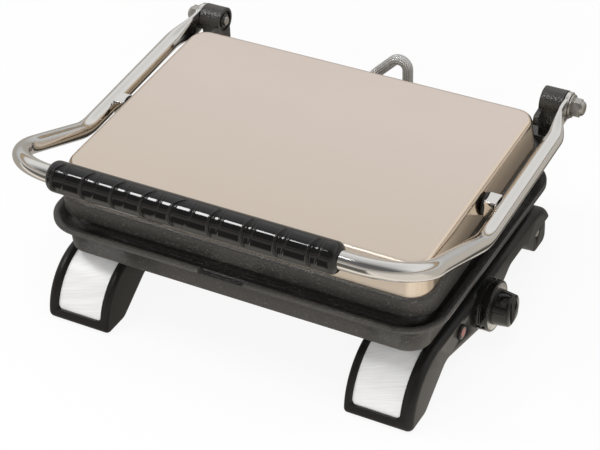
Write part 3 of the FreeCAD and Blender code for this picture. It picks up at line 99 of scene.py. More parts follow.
# Room that bright metal shows, as (height of the ray, brightness). The two dark bands are the gaps
# between its panels, and draw the thin lines along the tube.
ROOM_BY_HEIGHT = ((0.0, 0.50), (0.10, 0.58), (0.195, 0.72), (0.215, 0.08), (0.235, 0.06), (0.25, 0.62),
                  (0.285, 0.66), (0.30, 0.07), (0.315, 0.12), (0.345, 0.76), (0.50, 0.87), (0.75, 0.82),
                  (1.0, 0.60))
ROOM_FRONT = ((-0.40, 1.0), (0.12, 0.0))        # by the ray's Y: the part before the grill
ROOM_HIGH = ((0.30, 0.0), (0.46, 1.0))          # by the ray's height: the part above the panels
ROOM_FRONT_SHADE = 0.84
ROOM_GOLD = ((0.20, 0.0), (0.25, 1.0), (0.29, 1.0), (0.33, 0.0))
GOLD = (1.0, 0.70, 0.36)
ROOM_DIFFUSE = 0.55                             # the room's even light on all surfaces

# Floor that bright metal shows, as (metres along X or Y, brightness or share).
FLOOR_HALF_SIZE = 6.0
FLOOR_WHITENESS = 0.9                           # share of plain white that the camera sees
FLOOR_TONE = (1.0, 0.935, 0.84)
FLOOR_LANE_Y = ((-0.355, 0.14), (-0.285, 0.95), (-0.215, 0.95), (-0.18, 0.42))
FLOOR_BESIDE_X = ((0.11, 0.0), (0.165, 0.95))
FLOOR_BESIDE_Y = ((0.04, 1.0), (0.14, 0.16))
FLOOR_RIGHT_X = ((0.175, 0.0), (0.245, 1.0))
FLOOR_REAR_Y = ((-0.10, 0.20), (0.08, 1.0))
FLOOR_REAR_SHADE = 0.78
FLOOR_WALL_Y = ((0.04, 0.025), (0.22, 0.16))
FLOOR_FAR_X = ((0.255, 0.0), (0.29, 0.55))

# Handle tube and its pivot tabs, in metres.
TUBE_SIDES = 48
TUBE_STEP = 0.0022              # between two rings of the tube
TAB_SIDES = 72
TAB_CHAMFER = 0.0006
TAB_CLEARANCE = 0.0003          # between the post's lug and the tab
TAB_END_GAP = 0.0002            # between the hole's edge and the end of the flattened tube
TAB_INSET = 0.00003             # by which the flattened tube lies inside the tab's faces
TAB_HEIGHT_SHARE = 0.895        # height of the flattened tube against that of the tab
ROUND_SECTION = 2.0             # exponents of the section's outline
FLAT_SECTION = 5.0

# Grip, in metres and degrees. A crescent has two arcs, as (bulge in widths, share of the depth).
GRIP_SIDES = 96
GRIP_STEP = 0.0004              # between two rings of the grip
GRIP_END_SHARE = 0.5            # rounding of the ends against the radius
GRIP_END_STEPS = 8
GRIP_CHAMFER = 0.0005
GRIP_SKIN_SHARE = 0.9           # below this share of the radius a vertex belongs to the bore or the ends
CRESCENT_MIDDLE = 36.0          # up from the front
CRESCENT_REACH = 64.0           # from the middle to either tip
CRESCENT_SLANT = 0.2            # lean along the grip, in widths
CRESCENT_FADE = 6.0             # how fast the tips end
CRESCENT_ARCS = ((-0.70, 1.0), (0.30, 0.45))
CRESCENT_GROWTH = (0.85, 0.95, 1.0, 1.15, 1.45, 0.70, 0.60, 0.60, 0.65)     # from left to right
GROOVE_BED = 2.2                # sharpness of the pressed line
GROOVE_REACH = 2.0              # in half line widths, where the groove has faded
RIDGE_SHARE = 0.45              # raised edge beside the line, against the line's depth
RIDGE_PLACE = 1.25
RIDGE_BED = 7.0

# Braided hose, in metres.
HOSE_SIDES = 32
HOSE_STEP = 0.0009
HOSE_LID_BEND = 0.011
HOSE_BASE_BEND = 0.014
HOSE_WIRES = 14.0


# ------------------------------------------------------------------ shader maths
class Sock:
    """A node socket that builds Math nodes when it meets an operator."""

    def __init__(self, shader, socket):
        self.shader = shader
        self.socket = socket

    def math(self, kind, *others, clamp=False):
        return self.shader.node("ShaderNodeMath", {"operation": kind, "use_clamp": clamp},
                                [self] + list(others))

    def __add__(self, other):
        return self.math("ADD", other)

    def __sub__(self, other):
        return self.math("SUBTRACT", other)

    def __mul__(self, other):
        return self.math("MULTIPLY", other)

    def __truediv__(self, other):
        return self.math("DIVIDE", other)

    def __pow__(self, other):
        return self.math("POWER", other)

    def __rsub__(self, other):
        return self.shader.node("ShaderNodeMath", {"operation": "SUBTRACT"}, [other, self])

    __radd__ = __add__
    __rmul__ = __mul__

    def clip(self):
        return self.math("MULTIPLY", 1.0, clamp=True)

    def above(self, level):
        """1 where the value is over the level, else 0."""
        return self.math("GREATER_THAN", level)


class Shader:
    """A node tree that is written as a few expressions."""

    COLOR_MIX_INPUTS = (0, 6, 7)        # factor and both colours of a Mix node that is set to RGBA
    COLOR_MIX_RESULT = 2

    def __init__(self, name):
        self.material = bpy.data.materials.new(name)
        self.material.use_nodes = True
        self.tree = self.material.node_tree
        self.tree.nodes.clear()
        self.output = self.tree.nodes.new("ShaderNodeOutputMaterial")

    @classmethod
    def of_world(cls, world):
        """Writes into a world's tree in place of a material's."""
        shader = cls.__new__(cls)
        world.use_nodes = True
        shader.tree = world.node_tree
        shader.tree.nodes.clear()
        shader.output = shader.tree.nodes.new("ShaderNodeOutputWorld")
        return shader

    def node(self, kind, settings=None, inputs=None, out=0):
        made = self.tree.nodes.new(kind)
        for key, value in (settings or {}).items():
            if key == "stops":
                self.set_stops(made.color_ramp, value)
            else:
                setattr(made, key, value)
        pairs = enumerate(inputs) if isinstance(inputs, list) else (inputs or {}).items()
        for key, value in pairs:
            self.feed(made.inputs[key], value)
        return Sock(self, made.outputs[out])

    def feed(self, target, value):
        if isinstance(value, Sock):
            self.tree.links.new(value.socket, target)
        elif isinstance(value, (tuple, list)) and len(value) == 3 and target.type == "RGBA":
            target.default_value = tuple(value) + (1.0,)
        else:
            target.default_value = value

    @staticmethod
    def set_stops(ramp, stops):
        while len(ramp.elements) > len(stops):
            ramp.elements.remove(ramp.elements[-1])
        while len(ramp.elements) < len(stops):
            ramp.elements.new(1.0)
        for element, (at, level) in zip(ramp.elements, stops):
            element.position = at
            element.color = (level, level, level, 1.0)

    def object_coords(self):
        return self.node("ShaderNodeTexCoord", out="Object")

    def normal(self):
        return self.node("ShaderNodeTexCoord", out="Normal")

    def mapped(self, where, scale, turn=(0.0, 0.0, 0.0)):
        return self.node("ShaderNodeMapping", {}, {"Vector": where, "Scale": scale, "Rotation": turn})

    def place(self, scale=(1.0, 1.0, 1.0), turn=(0.0, 0.0, 0.0)):
        return self.mapped(self.object_coords(), scale, turn)

    def noise(self, where, scale, detail, roughness):
        return self.node("ShaderNodeTexNoise", {}, {"Vector": where, "Scale": scale, "Detail": detail,
                                                    "Roughness": roughness})

    def cells(self, where, scale):
        return self.node("ShaderNodeTexVoronoi", {}, {"Vector": where, "Scale": scale})

    def ramp(self, factor, stops):
        return self.node("ShaderNodeValToRGB", {"stops": stops}, [factor])

    def along(self, where, stops, start=-0.5, span=1.0):
        """A ramp whose stops are places; the ramp itself begins at start and is one span long."""
        return self.ramp((where - start) / span, [((at - start) / span, level) for at, level in stops])

    def mix(self, factor, first, second):
        made = self.tree.nodes.new("ShaderNodeMix")
        made.data_type = "RGBA"
        for key, value in zip(self.COLOR_MIX_INPUTS, (factor, first, second)):
            self.feed(made.inputs[key], value)
        return Sock(self, made.outputs[self.COLOR_MIX_RESULT])

    def mix_shader(self, factor, first, second):
        return self.node("ShaderNodeMixShader", {}, [factor, first, second])

    def glow(self, color, strength=1.0):
        return self.node("ShaderNodeEmission", {}, {"Color": color, "Strength": strength})

    def split(self, vector):
        made = self.tree.nodes.new("ShaderNodeSeparateXYZ")
        self.feed(made.inputs[0], vector)
        return [Sock(self, out) for out in made.outputs]

    def rays(self):
        """Whether a ray comes from the camera, and whether it comes from a mirroring surface."""
        path = self.tree.nodes.new("ShaderNodeLightPath")
        return Sock(self, path.outputs["Is Camera Ray"]), Sock(self, path.outputs["Is Glossy Ray"])

    def bump(self, height, strength, depth_mm):
        return self.node("ShaderNodeBump", {}, {"Height": height, "Strength": strength,
                                                "Distance": depth_mm * MM})

    def edge_highlight(self):
        """1 on outer edges, 0 on flats, from the surface's own pointiness; it paints highlights on edges."""
        point = self.node("ShaderNodeNewGeometry", out="Pointiness")
        return self.ramp(point, [(0.5, 0.0), (0.62, 1.0)])

    def about_x(self, centre):
        """Offsets in Y and Z from an axis along X through the centre, and the distance from it."""
        _, y, z = self.split(self.object_coords())
        dy = y - centre.y
        dz = z - centre.z
        return dy, dz, (dy * dy + dz * dz) ** 0.5

    def show(self, surface):
        self.tree.links.new(surface.socket, self.output.inputs[0])

    def finish(self, **sockets):
        inputs = {name.replace("_", " "): value for name, value in sockets.items()}
        self.show(self.node("ShaderNodeBsdfPrincipled", {}, inputs))
        return self.material


def shaded(tint, share):
    """The tint times one share, or times a share for each of its three colours."""
    shares = share if isinstance(share, tuple) else (share, share, share)
    return tuple(c * k for c, k in zip(tint, shares))


# ------------------------------------------------------------------ finishes
def satin_steel(tint):
    """Pressed stainless sheet: a warm, softly clouded top whose front part is tinted darker and warmer as
    painted shade, brighter, glossier walls tinted golden by their facing as a painted reflection, and a paler
    front.
    """
    s = Shader("satin_steel")
    grain = s.noise(s.place((26.0, 900.0, 900.0)), 1.0, 4.0, 0.6)
    cloud = s.noise(s.place(), 14.0, 3.0, 0.55)
    speck = s.noise(s.place(), 420.0, 2.0, 0.5)
    shade = grain * 0.05 + cloud * 0.06 + 0.945
    color = s.mix(shade.clip(), shaded(tint, 0.90), tint)
    _, y, _ = s.split(s.object_coords())
    # Painted shade: the front part of the top is tinted darker and warmer.
    front = s.along(y, [(-0.10, 1.0), (0.06, 0.0)], start=-0.25, span=0.5)
    color = s.mix(front, color, shaded(tint, (0.93, 0.925, 0.87)))
    sideways, ahead, facing = s.split(s.normal())
    wall = s.ramp(sideways.math("ABSOLUTE"), [(0.16, 0.0), (0.50, 1.0)])
    wall = wall.math("MAXIMUM", s.ramp(facing, [(0.20, 1.0), (0.55, 0.0)]))
    # Painted reflection: walls and low-facing faces are tinted golden by their facing.
    color = s.mix(wall, color, shaded(tint, (1.02, 0.98, 0.88)))
    apron = s.ramp(ahead * -1.0, [(0.45, 0.0), (0.90, 1.0)])
    rough = (grain * 0.10 + cloud * 0.08 + speck * 0.04 + 0.20) * (1.0 - wall * 0.5) + apron * 0.16
    height = s.bump(grain + speck * 0.5, 0.12, 0.03)
    return s.finish(Base_Color=color, Metallic=1.0 - apron * 0.38, Roughness=rough, Normal=height)


def cast_coat(name, tint, speck_and_sparkle_share, gloss):
    """Sand-cast metal under a dark half-gloss coat: pits, mottling, pale specks that are partly the coat's
    grain and partly painted sparkle, and edges lightened as a painted highlight.
    """
    s = Shader(name)
    sand = s.noise(s.place(), 700.0, 4.0, 0.75)
    grains = s.cells(s.place(), 470.0)
    mottle = s.noise(s.place(), 45.0, 4.0, 0.6)
    dots = s.ramp(grains, [(0.16, 1.0), (0.34, 0.0)]) * s.ramp(sand, [(0.42, 0.0), (0.60, 1.0)])
    # Pale specks: partly the coat's own grain, partly painted sparkle.
    specks_and_sparkle = dots * s.ramp(mottle, [(0.30, 0.35), (0.62, 1.0)])
    base = s.mix((mottle * 0.5 + sand * 0.5).clip(), shaded(tint, 0.5), shaded(tint, 1.5))
    # Painted highlight: edges are lightened, along with the pale specks.
    color = s.mix((specks_and_sparkle * speck_and_sparkle_share + s.edge_highlight() * 0.3).clip(), base, (0.22, 0.205, 0.185))
    rough = sand * 0.30 + mottle * 0.08 + gloss
    height = s.bump(sand * 0.6 - grains * 0.8, 0.8, 0.35)
    return s.finish(Base_Color=color, Roughness=rough, Normal=height, Specular_IOR_Level=0.75)


def moulded_black(tint):
    """Injection-moulded black with a faint spark-eroded grain."""
    s = Shader("moulded_black")
    grain = s.cells(s.place(), 1500.0)
    cloud = s.noise(s.place(), 30.0, 3.0, 0.5)
    color = s.mix(cloud, shaded(tint, 0.8), shaded(tint, 1.25))
    rough = grain * 0.10 + cloud * 0.10 + 0.26
    height = s.bump(grain, 0.10, 0.05)
    return s.finish(Base_Color=color, Roughness=rough, Normal=height, Specular_IOR_Level=0.34)


def gloss_black(tint):
    """Polished thermoset: deep black, almost mirror smooth, with fine handling marks."""
    s = Shader("gloss_black")
    marks = s.noise(s.place((500.0, 40.0, 40.0)), 1.0, 3.0, 0.6)
    cloud = s.noise(s.place(), 45.0, 2.0, 0.5)
    rough = marks * 0.05 + cloud * 0.04 + 0.03
    color = s.mix(cloud, shaded(tint, 0.7), shaded(tint, 1.3))
    return s.finish(Base_Color=color, Roughness=rough, Specular_IOR_Level=0.55,
                    Normal=s.bump(cloud, 0.05, 0.05))


def brushed_aluminium(tint):
    """Aluminium strip brushed on a slight slant, with long fine scratches."""
    s = Shader("brushed_aluminium")
    slant = s.place(turn=(0.0, math.radians(14.0), 0.0))
    fine = s.noise(s.mapped(slant, (36.0, 60.0, 1300.0)), 1.0, 4.0, 0.65)
    broad = s.noise(s.mapped(slant, (14.0, 20.0, 240.0)), 1.0, 3.0, 0.6)
    lines = (fine * 0.6 + broad * 0.4).clip()
    color = s.mix(s.ramp(lines, [(0.36, 0.0), (0.62, 1.0)]), shaded(tint, 0.84), tint)
    return s.finish(Base_Color=color, Metallic=0.2, Roughness=lines * 0.24 + 0.32,
                    Normal=s.bump(lines, 0.2, 0.05))


def polished_tube(tint):
    """Bright plated tube with a little clouding and faint draw lines."""
    s = Shader("polished_tube")
    cloud = s.noise(s.place(), 28.0, 3.0, 0.6)
    lines = s.noise(s.place((60.0, 60.0, 700.0)), 1.0, 2.0, 0.5)
    color = s.mix(cloud, shaded(tint, 0.93), tint)
    return s.finish(Base_Color=color, Metallic=1.0, Roughness=cloud * 0.06 + lines * 0.03 + 0.085,
                    Normal=s.bump(cloud, 0.03, 0.2))


def plated_screw(tint):
    """Zinc plated fasteners: satin, slightly mottled, with painted highlights on their edges."""
    s = Shader("plated_screw")
    cloud = s.noise(s.place(), 260.0, 3.0, 0.6)
    # Painted highlight: edges are lightened.
    color = s.mix((cloud * 0.7 + s.edge_highlight() * 0.3).clip(), shaded(tint, 0.72), tint)
    return s.finish(Base_Color=color, Metallic=1.0, Roughness=cloud * 0.18 + 0.26,
                    Normal=s.bump(cloud, 0.1, 0.05))


def zinc_sheet(tint):
    """Galvanised sheet with a soft spangle."""
    s = Shader("zinc_sheet")
    spangle = s.cells(s.place(), 90.0)
    color = s.mix(spangle.clip(), shaded(tint, 0.75), tint)
    return s.finish(Base_Color=color, Metallic=0.9, Roughness=spangle * 0.2 + 0.3,
                    Normal=s.bump(spangle, 0.05, 0.1))


def tinted_sheath(tint):
    """Heater sheath with straw and blue heat tints along its length."""
    s = Shader("tinted_sheath")
    band = s.noise(s.place((30.0, 30.0, 30.0)), 1.0, 2.0, 0.5)
    color = s.mix(s.ramp(band, [(0.4, 0.0), (0.6, 1.0)]), tint, (0.24, 0.22, 0.26))
    return s.finish(Base_Color=color, Metallic=0.9, Roughness=band * 0.2 + 0.3)


def braided_steel(tint):
    """Braided steel hose: two crossing sets of wires, from the hose's own UV map, with painted shade that
    darkens the low parts between the wires.
    """
    s = Shader("braid")
    u, v, _ = s.split(s.node("ShaderNodeUVMap", {"uv_map": "hose"}))
    u = u * HOSE_WIRES
    v = v * HOSE_WIRES
    first = ((u + v) * FULL_TURN).math("SINE") * 0.5 + 0.5
    second = ((u - v) * FULL_TURN).math("SINE") * 0.5 + 0.5
    over = (v * FULL_TURN).math("SINE").above(0.0)
    height = first * over + second * (1.0 - over)
    # Painted shade: the colour darkens where the braid is low, between the wires.
    color = s.mix(height.clip(), shaded(tint, 0.42), tint)
    return s.finish(Base_Color=color, Metallic=0.7, Roughness=0.50 - height * 0.14,
                    Normal=s.bump(height, 0.7, 0.4))


def red_lens(tint, centre, radius):
    """Translucent red lens with fine inner facets and a dark rim."""
    s = Shader("red_lens")
    facets = s.cells(s.place(), 900.0)
    _, _, away = s.about_x(centre)
    rim = s.ramp(away / radius, [(0.50, 0.0), (0.62, 1.0)])
    red = s.mix(facets.clip(), tint, tuple(min(1.0, c * 1.7 + 0.03) for c in tint))
    color = s.mix(rim, red, (0.010, 0.006, 0.006))
    return s.finish(Base_Color=color, Roughness=0.22 + facets * 0.1, Coat_Weight=0.2,
                    Coat_Roughness=0.06, Emission_Color=color, Emission_Strength=0.06,
                    Specular_IOR_Level=0.25, Normal=s.bump(facets, 0.15, 0.2))


def soft_rubber(tint):
    """Dull dark rubber with a little dust on it."""
    s = Shader("soft_rubber")
    dust = s.noise(s.place(), 300.0, 3.0, 0.6)
    color = s.mix(dust, tint, shaded(tint, 1.8))
    return s.finish(Base_Color=color, Roughness=dust * 0.15 + 0.7, Normal=s.bump(dust, 0.2, 0.05))


def raw_ceramic(tint):
    """Unglazed ceramic with a dry grain."""
    s = Shader("raw_ceramic")
    grain = s.noise(s.place(), 600.0, 3.0, 0.6)
    color = s.mix(grain, shaded(tint, 0.85), tint)
    return s.finish(Base_Color=color, Roughness=grain * 0.2 + 0.6, Normal=s.bump(grain, 0.2, 0.05))


def dial_scale(tint, centre, radius):
    """Silver scale ring with twelve printed marks and finer ticks, over most of its round."""
    s = Shader("dial_scale")
    dy, dz, away = s.about_x(centre)
    angle = dy.math("ARCTAN2", dz) / FULL_TURN + 0.5
    tooth = (angle * 12.0).math("FRACT") - 0.5
    mark = (0.045 - tooth.math("ABSOLUTE")).above(0.0)
    minor = ((angle * 48.0).math("FRACT") - 0.5).math("ABSOLUTE")
    minor = (0.10 - minor).above(0.0)
    inner = (away - radius * 0.84).above(0.0)
    outer = (radius * 0.955 - away).above(0.0)
    short = (away - radius * 0.91).above(0.0)
    printed = (angle - 0.12).above(0.0) * (0.88 - angle).above(0.0)
    ink = (mark * inner + minor * short).clip() * outer * printed
    grain = s.noise(s.place((400.0, 400.0, 400.0)), 1.0, 2.0, 0.5)
    color = s.mix(ink, s.mix(grain, shaded(tint, 0.92), tint), (0.06, 0.06, 0.06))
    return s.finish(Base_Color=color, Metallic=1.0 - ink, Roughness=grain * 0.1 + 0.28)


def floor_paper(tint):
    """White paper that still takes a shadow; bright metal shows lanes of light and shade on it."""
    s = Shader("floor_paper")
    seen, mirrored = s.rays()
    x, y, _ = s.split(s.object_coords())
    lane = s.along(y, FLOOR_LANE_Y, start=-1.0)
    beside = s.along(x, FLOOR_BESIDE_X) * s.along(y, FLOOR_BESIDE_Y)
    right = s.along(x, FLOOR_RIGHT_X)
    rear = s.along(y, FLOOR_REAR_Y)
    level = (lane.math("MAXIMUM", beside) - right * rear * FLOOR_REAR_SHADE).clip()
    level = level.math("MAXIMUM", right * s.along(y, FLOOR_WALL_Y))
    level = level.math("MAXIMUM", s.along(x, FLOOR_FAR_X))
    shown = s.mix_shader(level, s.glow(FLOOR_TONE, 0.0), s.glow(FLOOR_TONE))
    paper = s.node("ShaderNodeBsdfDiffuse", {}, {"Color": tint})
    lit = s.mix_shader(seen * FLOOR_WHITENESS, paper, s.glow(WHITE))
    s.show(s.mix_shader(mirrored, lit, shown))
    return s.material


# ------------------------------------------------------------------ mesh helpers
def finished(name, bm, body, node, material, sharp):
    """Turns a bmesh into a piece that stands for its CAD node and rides on a body, if it has one."""
    mesh = bpy.data.meshes.new(name)
    bm.to_mesh(mesh)
    bm.free()
    for polygon in mesh.polygons:
        polygon.use_smooth = True
    mesh.set_sharp_from_angle(angle=math.radians(sharp))
    mesh.materials.append(material)
    piece = bpy.data.objects.new(name, mesh)
    bpy.context.scene.collection.objects.link(piece)
    if body:
        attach(piece, body)
    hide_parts(node)
    return piece


def skin_of(node, body, material, sharp=SHARP_SHEET, ease_mm=0.0):
    """Welded, smooth-shaded copy of a CAD node, with eased edges where asked."""
    bm = bmesh.new()
    bm.from_mesh(frame["nodes"][node].data)
    bmesh.ops.remove_doubles(bm, verts=bm.verts[:], dist=WELD)
    bmesh.ops.dissolve_degenerate(bm, dist=WELD / 10, edges=bm.edges[:])
    piece = finished(node + "_skin", bm, body, node, material, sharp)
    if ease_mm:
        ease = piece.modifiers.new("eased", "BEVEL")
        ease.width = ease_mm * MM
        ease.segments = EASE_SEGMENTS
        ease.limit_method = "ANGLE"
        ease.angle_limit = math.radians(EASE_FROM_DEGREES)
        ease.harden_normals = False


def rounded_line(points, radii, step):
    """Points along straight runs joined by tangent arcs."""
    line = [points[0]]
    for before, corner, after, r in zip(points, points[1:], points[2:], radii):
        come = (corner - before).normalized()
        go = (after - corner).normalized()
        turn = come.angle(go)
        first = corner - come * (r * math.tan(turn / 2))
        axis = come.cross(go).normalized()
        centre = first + axis.cross(come) * r
        count = max(6, int(r * turn / step))
        for i in range(count + 1):
            line.append(centre + Matrix.Rotation(turn * i / count, 3, axis) @ (first - centre))
    line.append(points[-1])
    spaced = [line[0]]
    for point in line[1:]:
        base = spaced[-1]
        gap = point - base
        parts = max(1, int(gap.length / step))
        for i in range(1, parts + 1):
            spaced.append(base + gap * i / parts)
    return spaced


def round_section(r):
    """Section of a plain tube: half width, half height, shift in X and exponent of the outline."""
    return lambda point: (r, r, 0.0, ROUND_SECTION)


def tube_along(bm, line, r, count, map_name, section):
    """Tube round a line, with a map of turns round it and turns' lengths along it.

    section gives (half width, half height, shift in X, exponent of the outline) at a point."""
    layer = bm.loops.layers.uv.new(map_name)
    heading = (line[1] - line[0]).normalized()
    side = heading.orthogonal().normalized()
    rings = []
    far = 0.0
    for i, point in enumerate(line):
        ahead = line[min(i + 1, len(line) - 1)] - line[max(i - 1, 0)]
        if ahead.length > 1e-9:
            new = ahead.normalized()
            side = heading.rotation_difference(new) @ side
            heading = new
        if i:
            far += (point - line[i - 1]).length
        up = heading.cross(side)
        wide, tall, shift, square = section(point)
        ring = []
        for k in range(count):
            around = FULL_TURN * k / count
            out = side * math.cos(around) + up * math.sin(around)
            if wide != tall:
                across = abs(out.x)
                rest = math.sqrt(max(0.0, 1.0 - across * across))
                size = ((across / wide) ** square + (rest / tall) ** square) ** (-1.0 / square)
            else:
                size = wide
            ring.append(bm.verts.new(point + out * size + Vector((shift, 0.0, 0.0))))
        rings.append((ring, far / (FULL_TURN * r)))
    for (a, va), (b, vb) in zip(rings, rings[1:]):
        for k in range(count):
            n = (k + 1) % count
            face = bm.faces.new((a[k], a[n], b[n], b[k]))
            for loop, uv in zip(face.loops, ((k, va), (k + 1, va), (k + 1, vb), (k, vb))):
                loop[layer].uv = (uv[0] / count, uv[1])
    bm.faces.new(list(reversed(rings[0][0])))
    bm.faces.new(rings[-1][0])
    bmesh.ops.recalc_face_normals(bm, faces=bm.faces[:])


def lathe(bm, profile, origin, steps):
    """Spins (along X, radius) points into a closed turned solid round the origin's X axis."""
    along = Vector((1, 0, 0))
    out = Vector((0, 0, 1))
    verts = [bm.verts.new(origin + along * a + out * r) for a, r in profile]
    edges = [bm.edges.new(pair) for pair in zip(verts, verts[1:])]
    bmesh.ops.spin(bm, geom=verts + edges, cent=origin, axis=along, dvec=(0, 0, 0), angle=FULL_TURN,
                   steps=steps, use_merge=True, use_normal_flip=False, use_duplicate=False)
    bmesh.ops.remove_doubles(bm, verts=bm.verts[:], dist=WELD)
    bmesh.ops.recalc_face_normals(bm, faces=bm.faces[:])


def quarter(r0, radius, start, end, steps):
    """Points of an arc in a lathe profile, degrees from the axis direction."""
    points = []
    for i in range(steps + 1):
        t = math.radians(start + (end - start) * i / steps)
        points.append((radius * math.cos(t), r0 + radius * math.sin(t)))
    return points


def middle(node):
    low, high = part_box(node)
    return (low + high) / 2


def radius_of(node):
    """Half the height of a node that is round about X."""
    low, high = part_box(node)
    return (high.z - low.z) / 2


# ------------------------------------------------------------------ settings
class GrillSettings(PropertyGroup):
    """Sizes and colours that can be changed; lengths are in metres."""
    tube_diameter: FloatProperty(
        name="Tube diameter", description="Outer diameter of the handle tube", default=0.014, unit="LENGTH")
    arm_bend_radius: FloatProperty(
        name="Arm bend radius", description="Centre line radius of the bend in each arm",
        default=0.045, unit="LENGTH")
    elbow_reach: FloatProperty(
        name="Elbow reach", description="From the pivot forward to the bend of each arm",
        default=0.1775, unit="LENGTH")
    elbow_drop: FloatProperty(
        name="Elbow drop", description="From the pivot down to the bend of each arm",
        default=0.0128, unit="LENGTH")
    tab_thickness: FloatProperty(
        name="Tab thickness", description="Thickness of the flattened tube end", default=0.004, unit="LENGTH")
    tab_radius: FloatProperty(
        name="Tab radius", description="Rounding of the tab round the pivot", default=0.011, unit="LENGTH")
    tab_hole: FloatProperty(
        name="Tab hole", description="Diameter of the tab's pivot hole", default=0.0081, unit="LENGTH")
    tab_start: FloatProperty(
        name="Flattening start", description="From the pivot to where the tube is still round",
        default=0.046, unit="LENGTH")
    tab_flat: FloatProperty(
        name="Flattening end", description="From the pivot to where the tube is flat",
        default=0.013, unit="LENGTH")
    right_corner_radius: FloatProperty(
        name="Right corner radius", description="Bend radius where the right arm meets the front bar",
        default=0.042, unit="LENGTH")
    left_corner_radius: FloatProperty(
        name="Left corner radius", description="Bend radius where the left arm meets the front bar",
        default=0.058, unit="LENGTH")
    groove_count: IntProperty(
        name="Grip crescents", description="Number of crescents along the grip",
        default=9, subtype="UNSIGNED")
    groove_pitch: FloatProperty(
        name="Crescent pitch", description="Distance between two crescents of the grip",
        default=0.026, unit="LENGTH")
    groove_width: FloatProperty(
        name="Crescent width", description="Widest part of a crescent", default=0.0112, unit="LENGTH")
    groove_line: FloatProperty(
        name="Crescent line", description="Width of a crescent's pressed line",
        default=0.0023, unit="LENGTH")
    groove_depth: FloatProperty(
        name="Crescent depth", description="Depth of a crescent's pressed line",
        default=0.0010, unit="LENGTH")
    hose_diameter: FloatProperty(
        name="Hose diameter", description="Outer diameter of the braided conduit",
        default=0.009, unit="LENGTH")
    hose_arch: FloatProperty(
        name="Hose arch", description="Centre line radius of the conduit's arch",
        default=0.0076, unit="LENGTH")
    lid_lean: FloatProperty(
        name="Lid lean", description="Angle by which the closed lid leans forward",
        default=math.radians(2.85), subtype="ANGLE")
    steel_color: FloatVectorProperty(
        name="Lid steel", description="Colour of the pressed stainless lid",
        default=(0.80, 0.70, 0.63), subtype="COLOR")
    cast_color: FloatVectorProperty(
        name="Cast coat", description="Colour of the coated castings",
        default=(0.020, 0.018, 0.016), subtype="COLOR")
    moulding_color: FloatVectorProperty(
        name="Mouldings", description="Colour of the moulded rails",
        default=(0.0085, 0.008, 0.0075), subtype="COLOR")
    grip_color: FloatVectorProperty(
        name="Grip", description="Colour of the glossy grip and dial",
        default=(0.0045, 0.0042, 0.004), subtype="COLOR")
    inlay_color: FloatVectorProperty(
        name="Inlays", description="Colour of the brushed inlays",
        default=(0.93, 0.925, 0.92), subtype="COLOR")
    ring_color: FloatVectorProperty(
        name="Scale ring", description="Colour of the dial's silver ring",
        default=(0.62, 0.61, 0.60), subtype="COLOR")
    tube_color: FloatVectorProperty(
        name="Tube", description="Colour of the polished tube",
        default=(0.80, 0.785, 0.76), subtype="COLOR")
    screw_color: FloatVectorProperty(
        name="Screws", description="Colour of plated fasteners",
        default=(0.62, 0.60, 0.57), subtype="COLOR")
    lens_color: FloatVectorProperty(
        name="Lamp lens", description="Colour of the pilot lamp",
        default=(0.22, 0.010, 0.007), subtype="COLOR")
    hose_color: FloatVectorProperty(
        name="Hose", description="Colour of the braided conduit",
        default=(0.88, 0.88, 0.87), subtype="COLOR")
    backdrop_color: FloatVectorProperty(
        name="Backdrop", description="Colour of the floor paper",
        default=(0.93, 0.93, 0.93), subtype="COLOR")
    key_energy: FloatProperty(
        name="Key light", description="Power of the overhead softbox", default=9.0, unit="POWER")
    strip_energy: FloatProperty(
        name="Strip light", description="Power of the strip that draws the streak on the grip",
        default=8.0, unit="POWER")
    fill_energy: FloatProperty(
        name="Fill light", description="Power of the soft front fill", default=18.0, unit="POWER")


def settings():
    return bpy.context.scene.grill_settings


FINISHES = {}


def finish_of(name, make, *args):
    """One material of each kind, made when it is first asked for."""
    if name not in FINISHES:
        FINISHES[name] = make(*args)
    return FINISHES[name]


def steel():
    return finish_of("steel", satin_steel, tuple(settings().steel_color))


def casting():
    return finish_of("casting", cast_coat, "cast_coat", tuple(settings().cast_color), 0.7, 0.20)


def post_casting():
    """The hinge posts' coat is darker and glossier than that of the plates, with few pale specks and little
    painted sparkle.
    """
    tint = shaded(tuple(settings().cast_color), 0.4)
    return finish_of("post_casting", cast_coat, "cast_post", tint, 0.12, 0.08)


def moulding():
    return finish_of("moulding", moulded_black, tuple(settings().moulding_color))


def gloss():
    return finish_of("gloss", gloss_black, tuple(settings().grip_color))


def aluminium():
    return finish_of("aluminium", brushed_aluminium, tuple(settings().inlay_color))


def chrome():
    return finish_of("chrome", polished_tube, tuple(settings().tube_color))


def plated():
    return finish_of("plated", plated_screw, tuple(settings().screw_color))


def braid():
    return finish_of("braid", braided_steel, tuple(settings().hose_color))


def scale_ring():
    return finish_of("scale_ring", dial_scale, tuple(settings().ring_color),
                     middle("dial_ring"), radius_of("dial_ring"))


def lens():
    return finish_of("lens", red_lens, tuple(settings().lens_color),
                     middle("pilot_lamp_lens"), radius_of("pilot_lamp_lens"))


def sheet_zinc():
    return finish_of("sheet_zinc", zinc_sheet, (0.60, 0.60, 0.60))


def sheath():
    return finish_of("sheath", tinted_sheath, (0.42, 0.38, 0.33))


def rubber():
    return finish_of("rubber", soft_rubber, (0.03, 0.03, 0.03))


def ceramic():
    return finish_of("ceramic", raw_ceramic, (0.80, 0.77, 0.70))


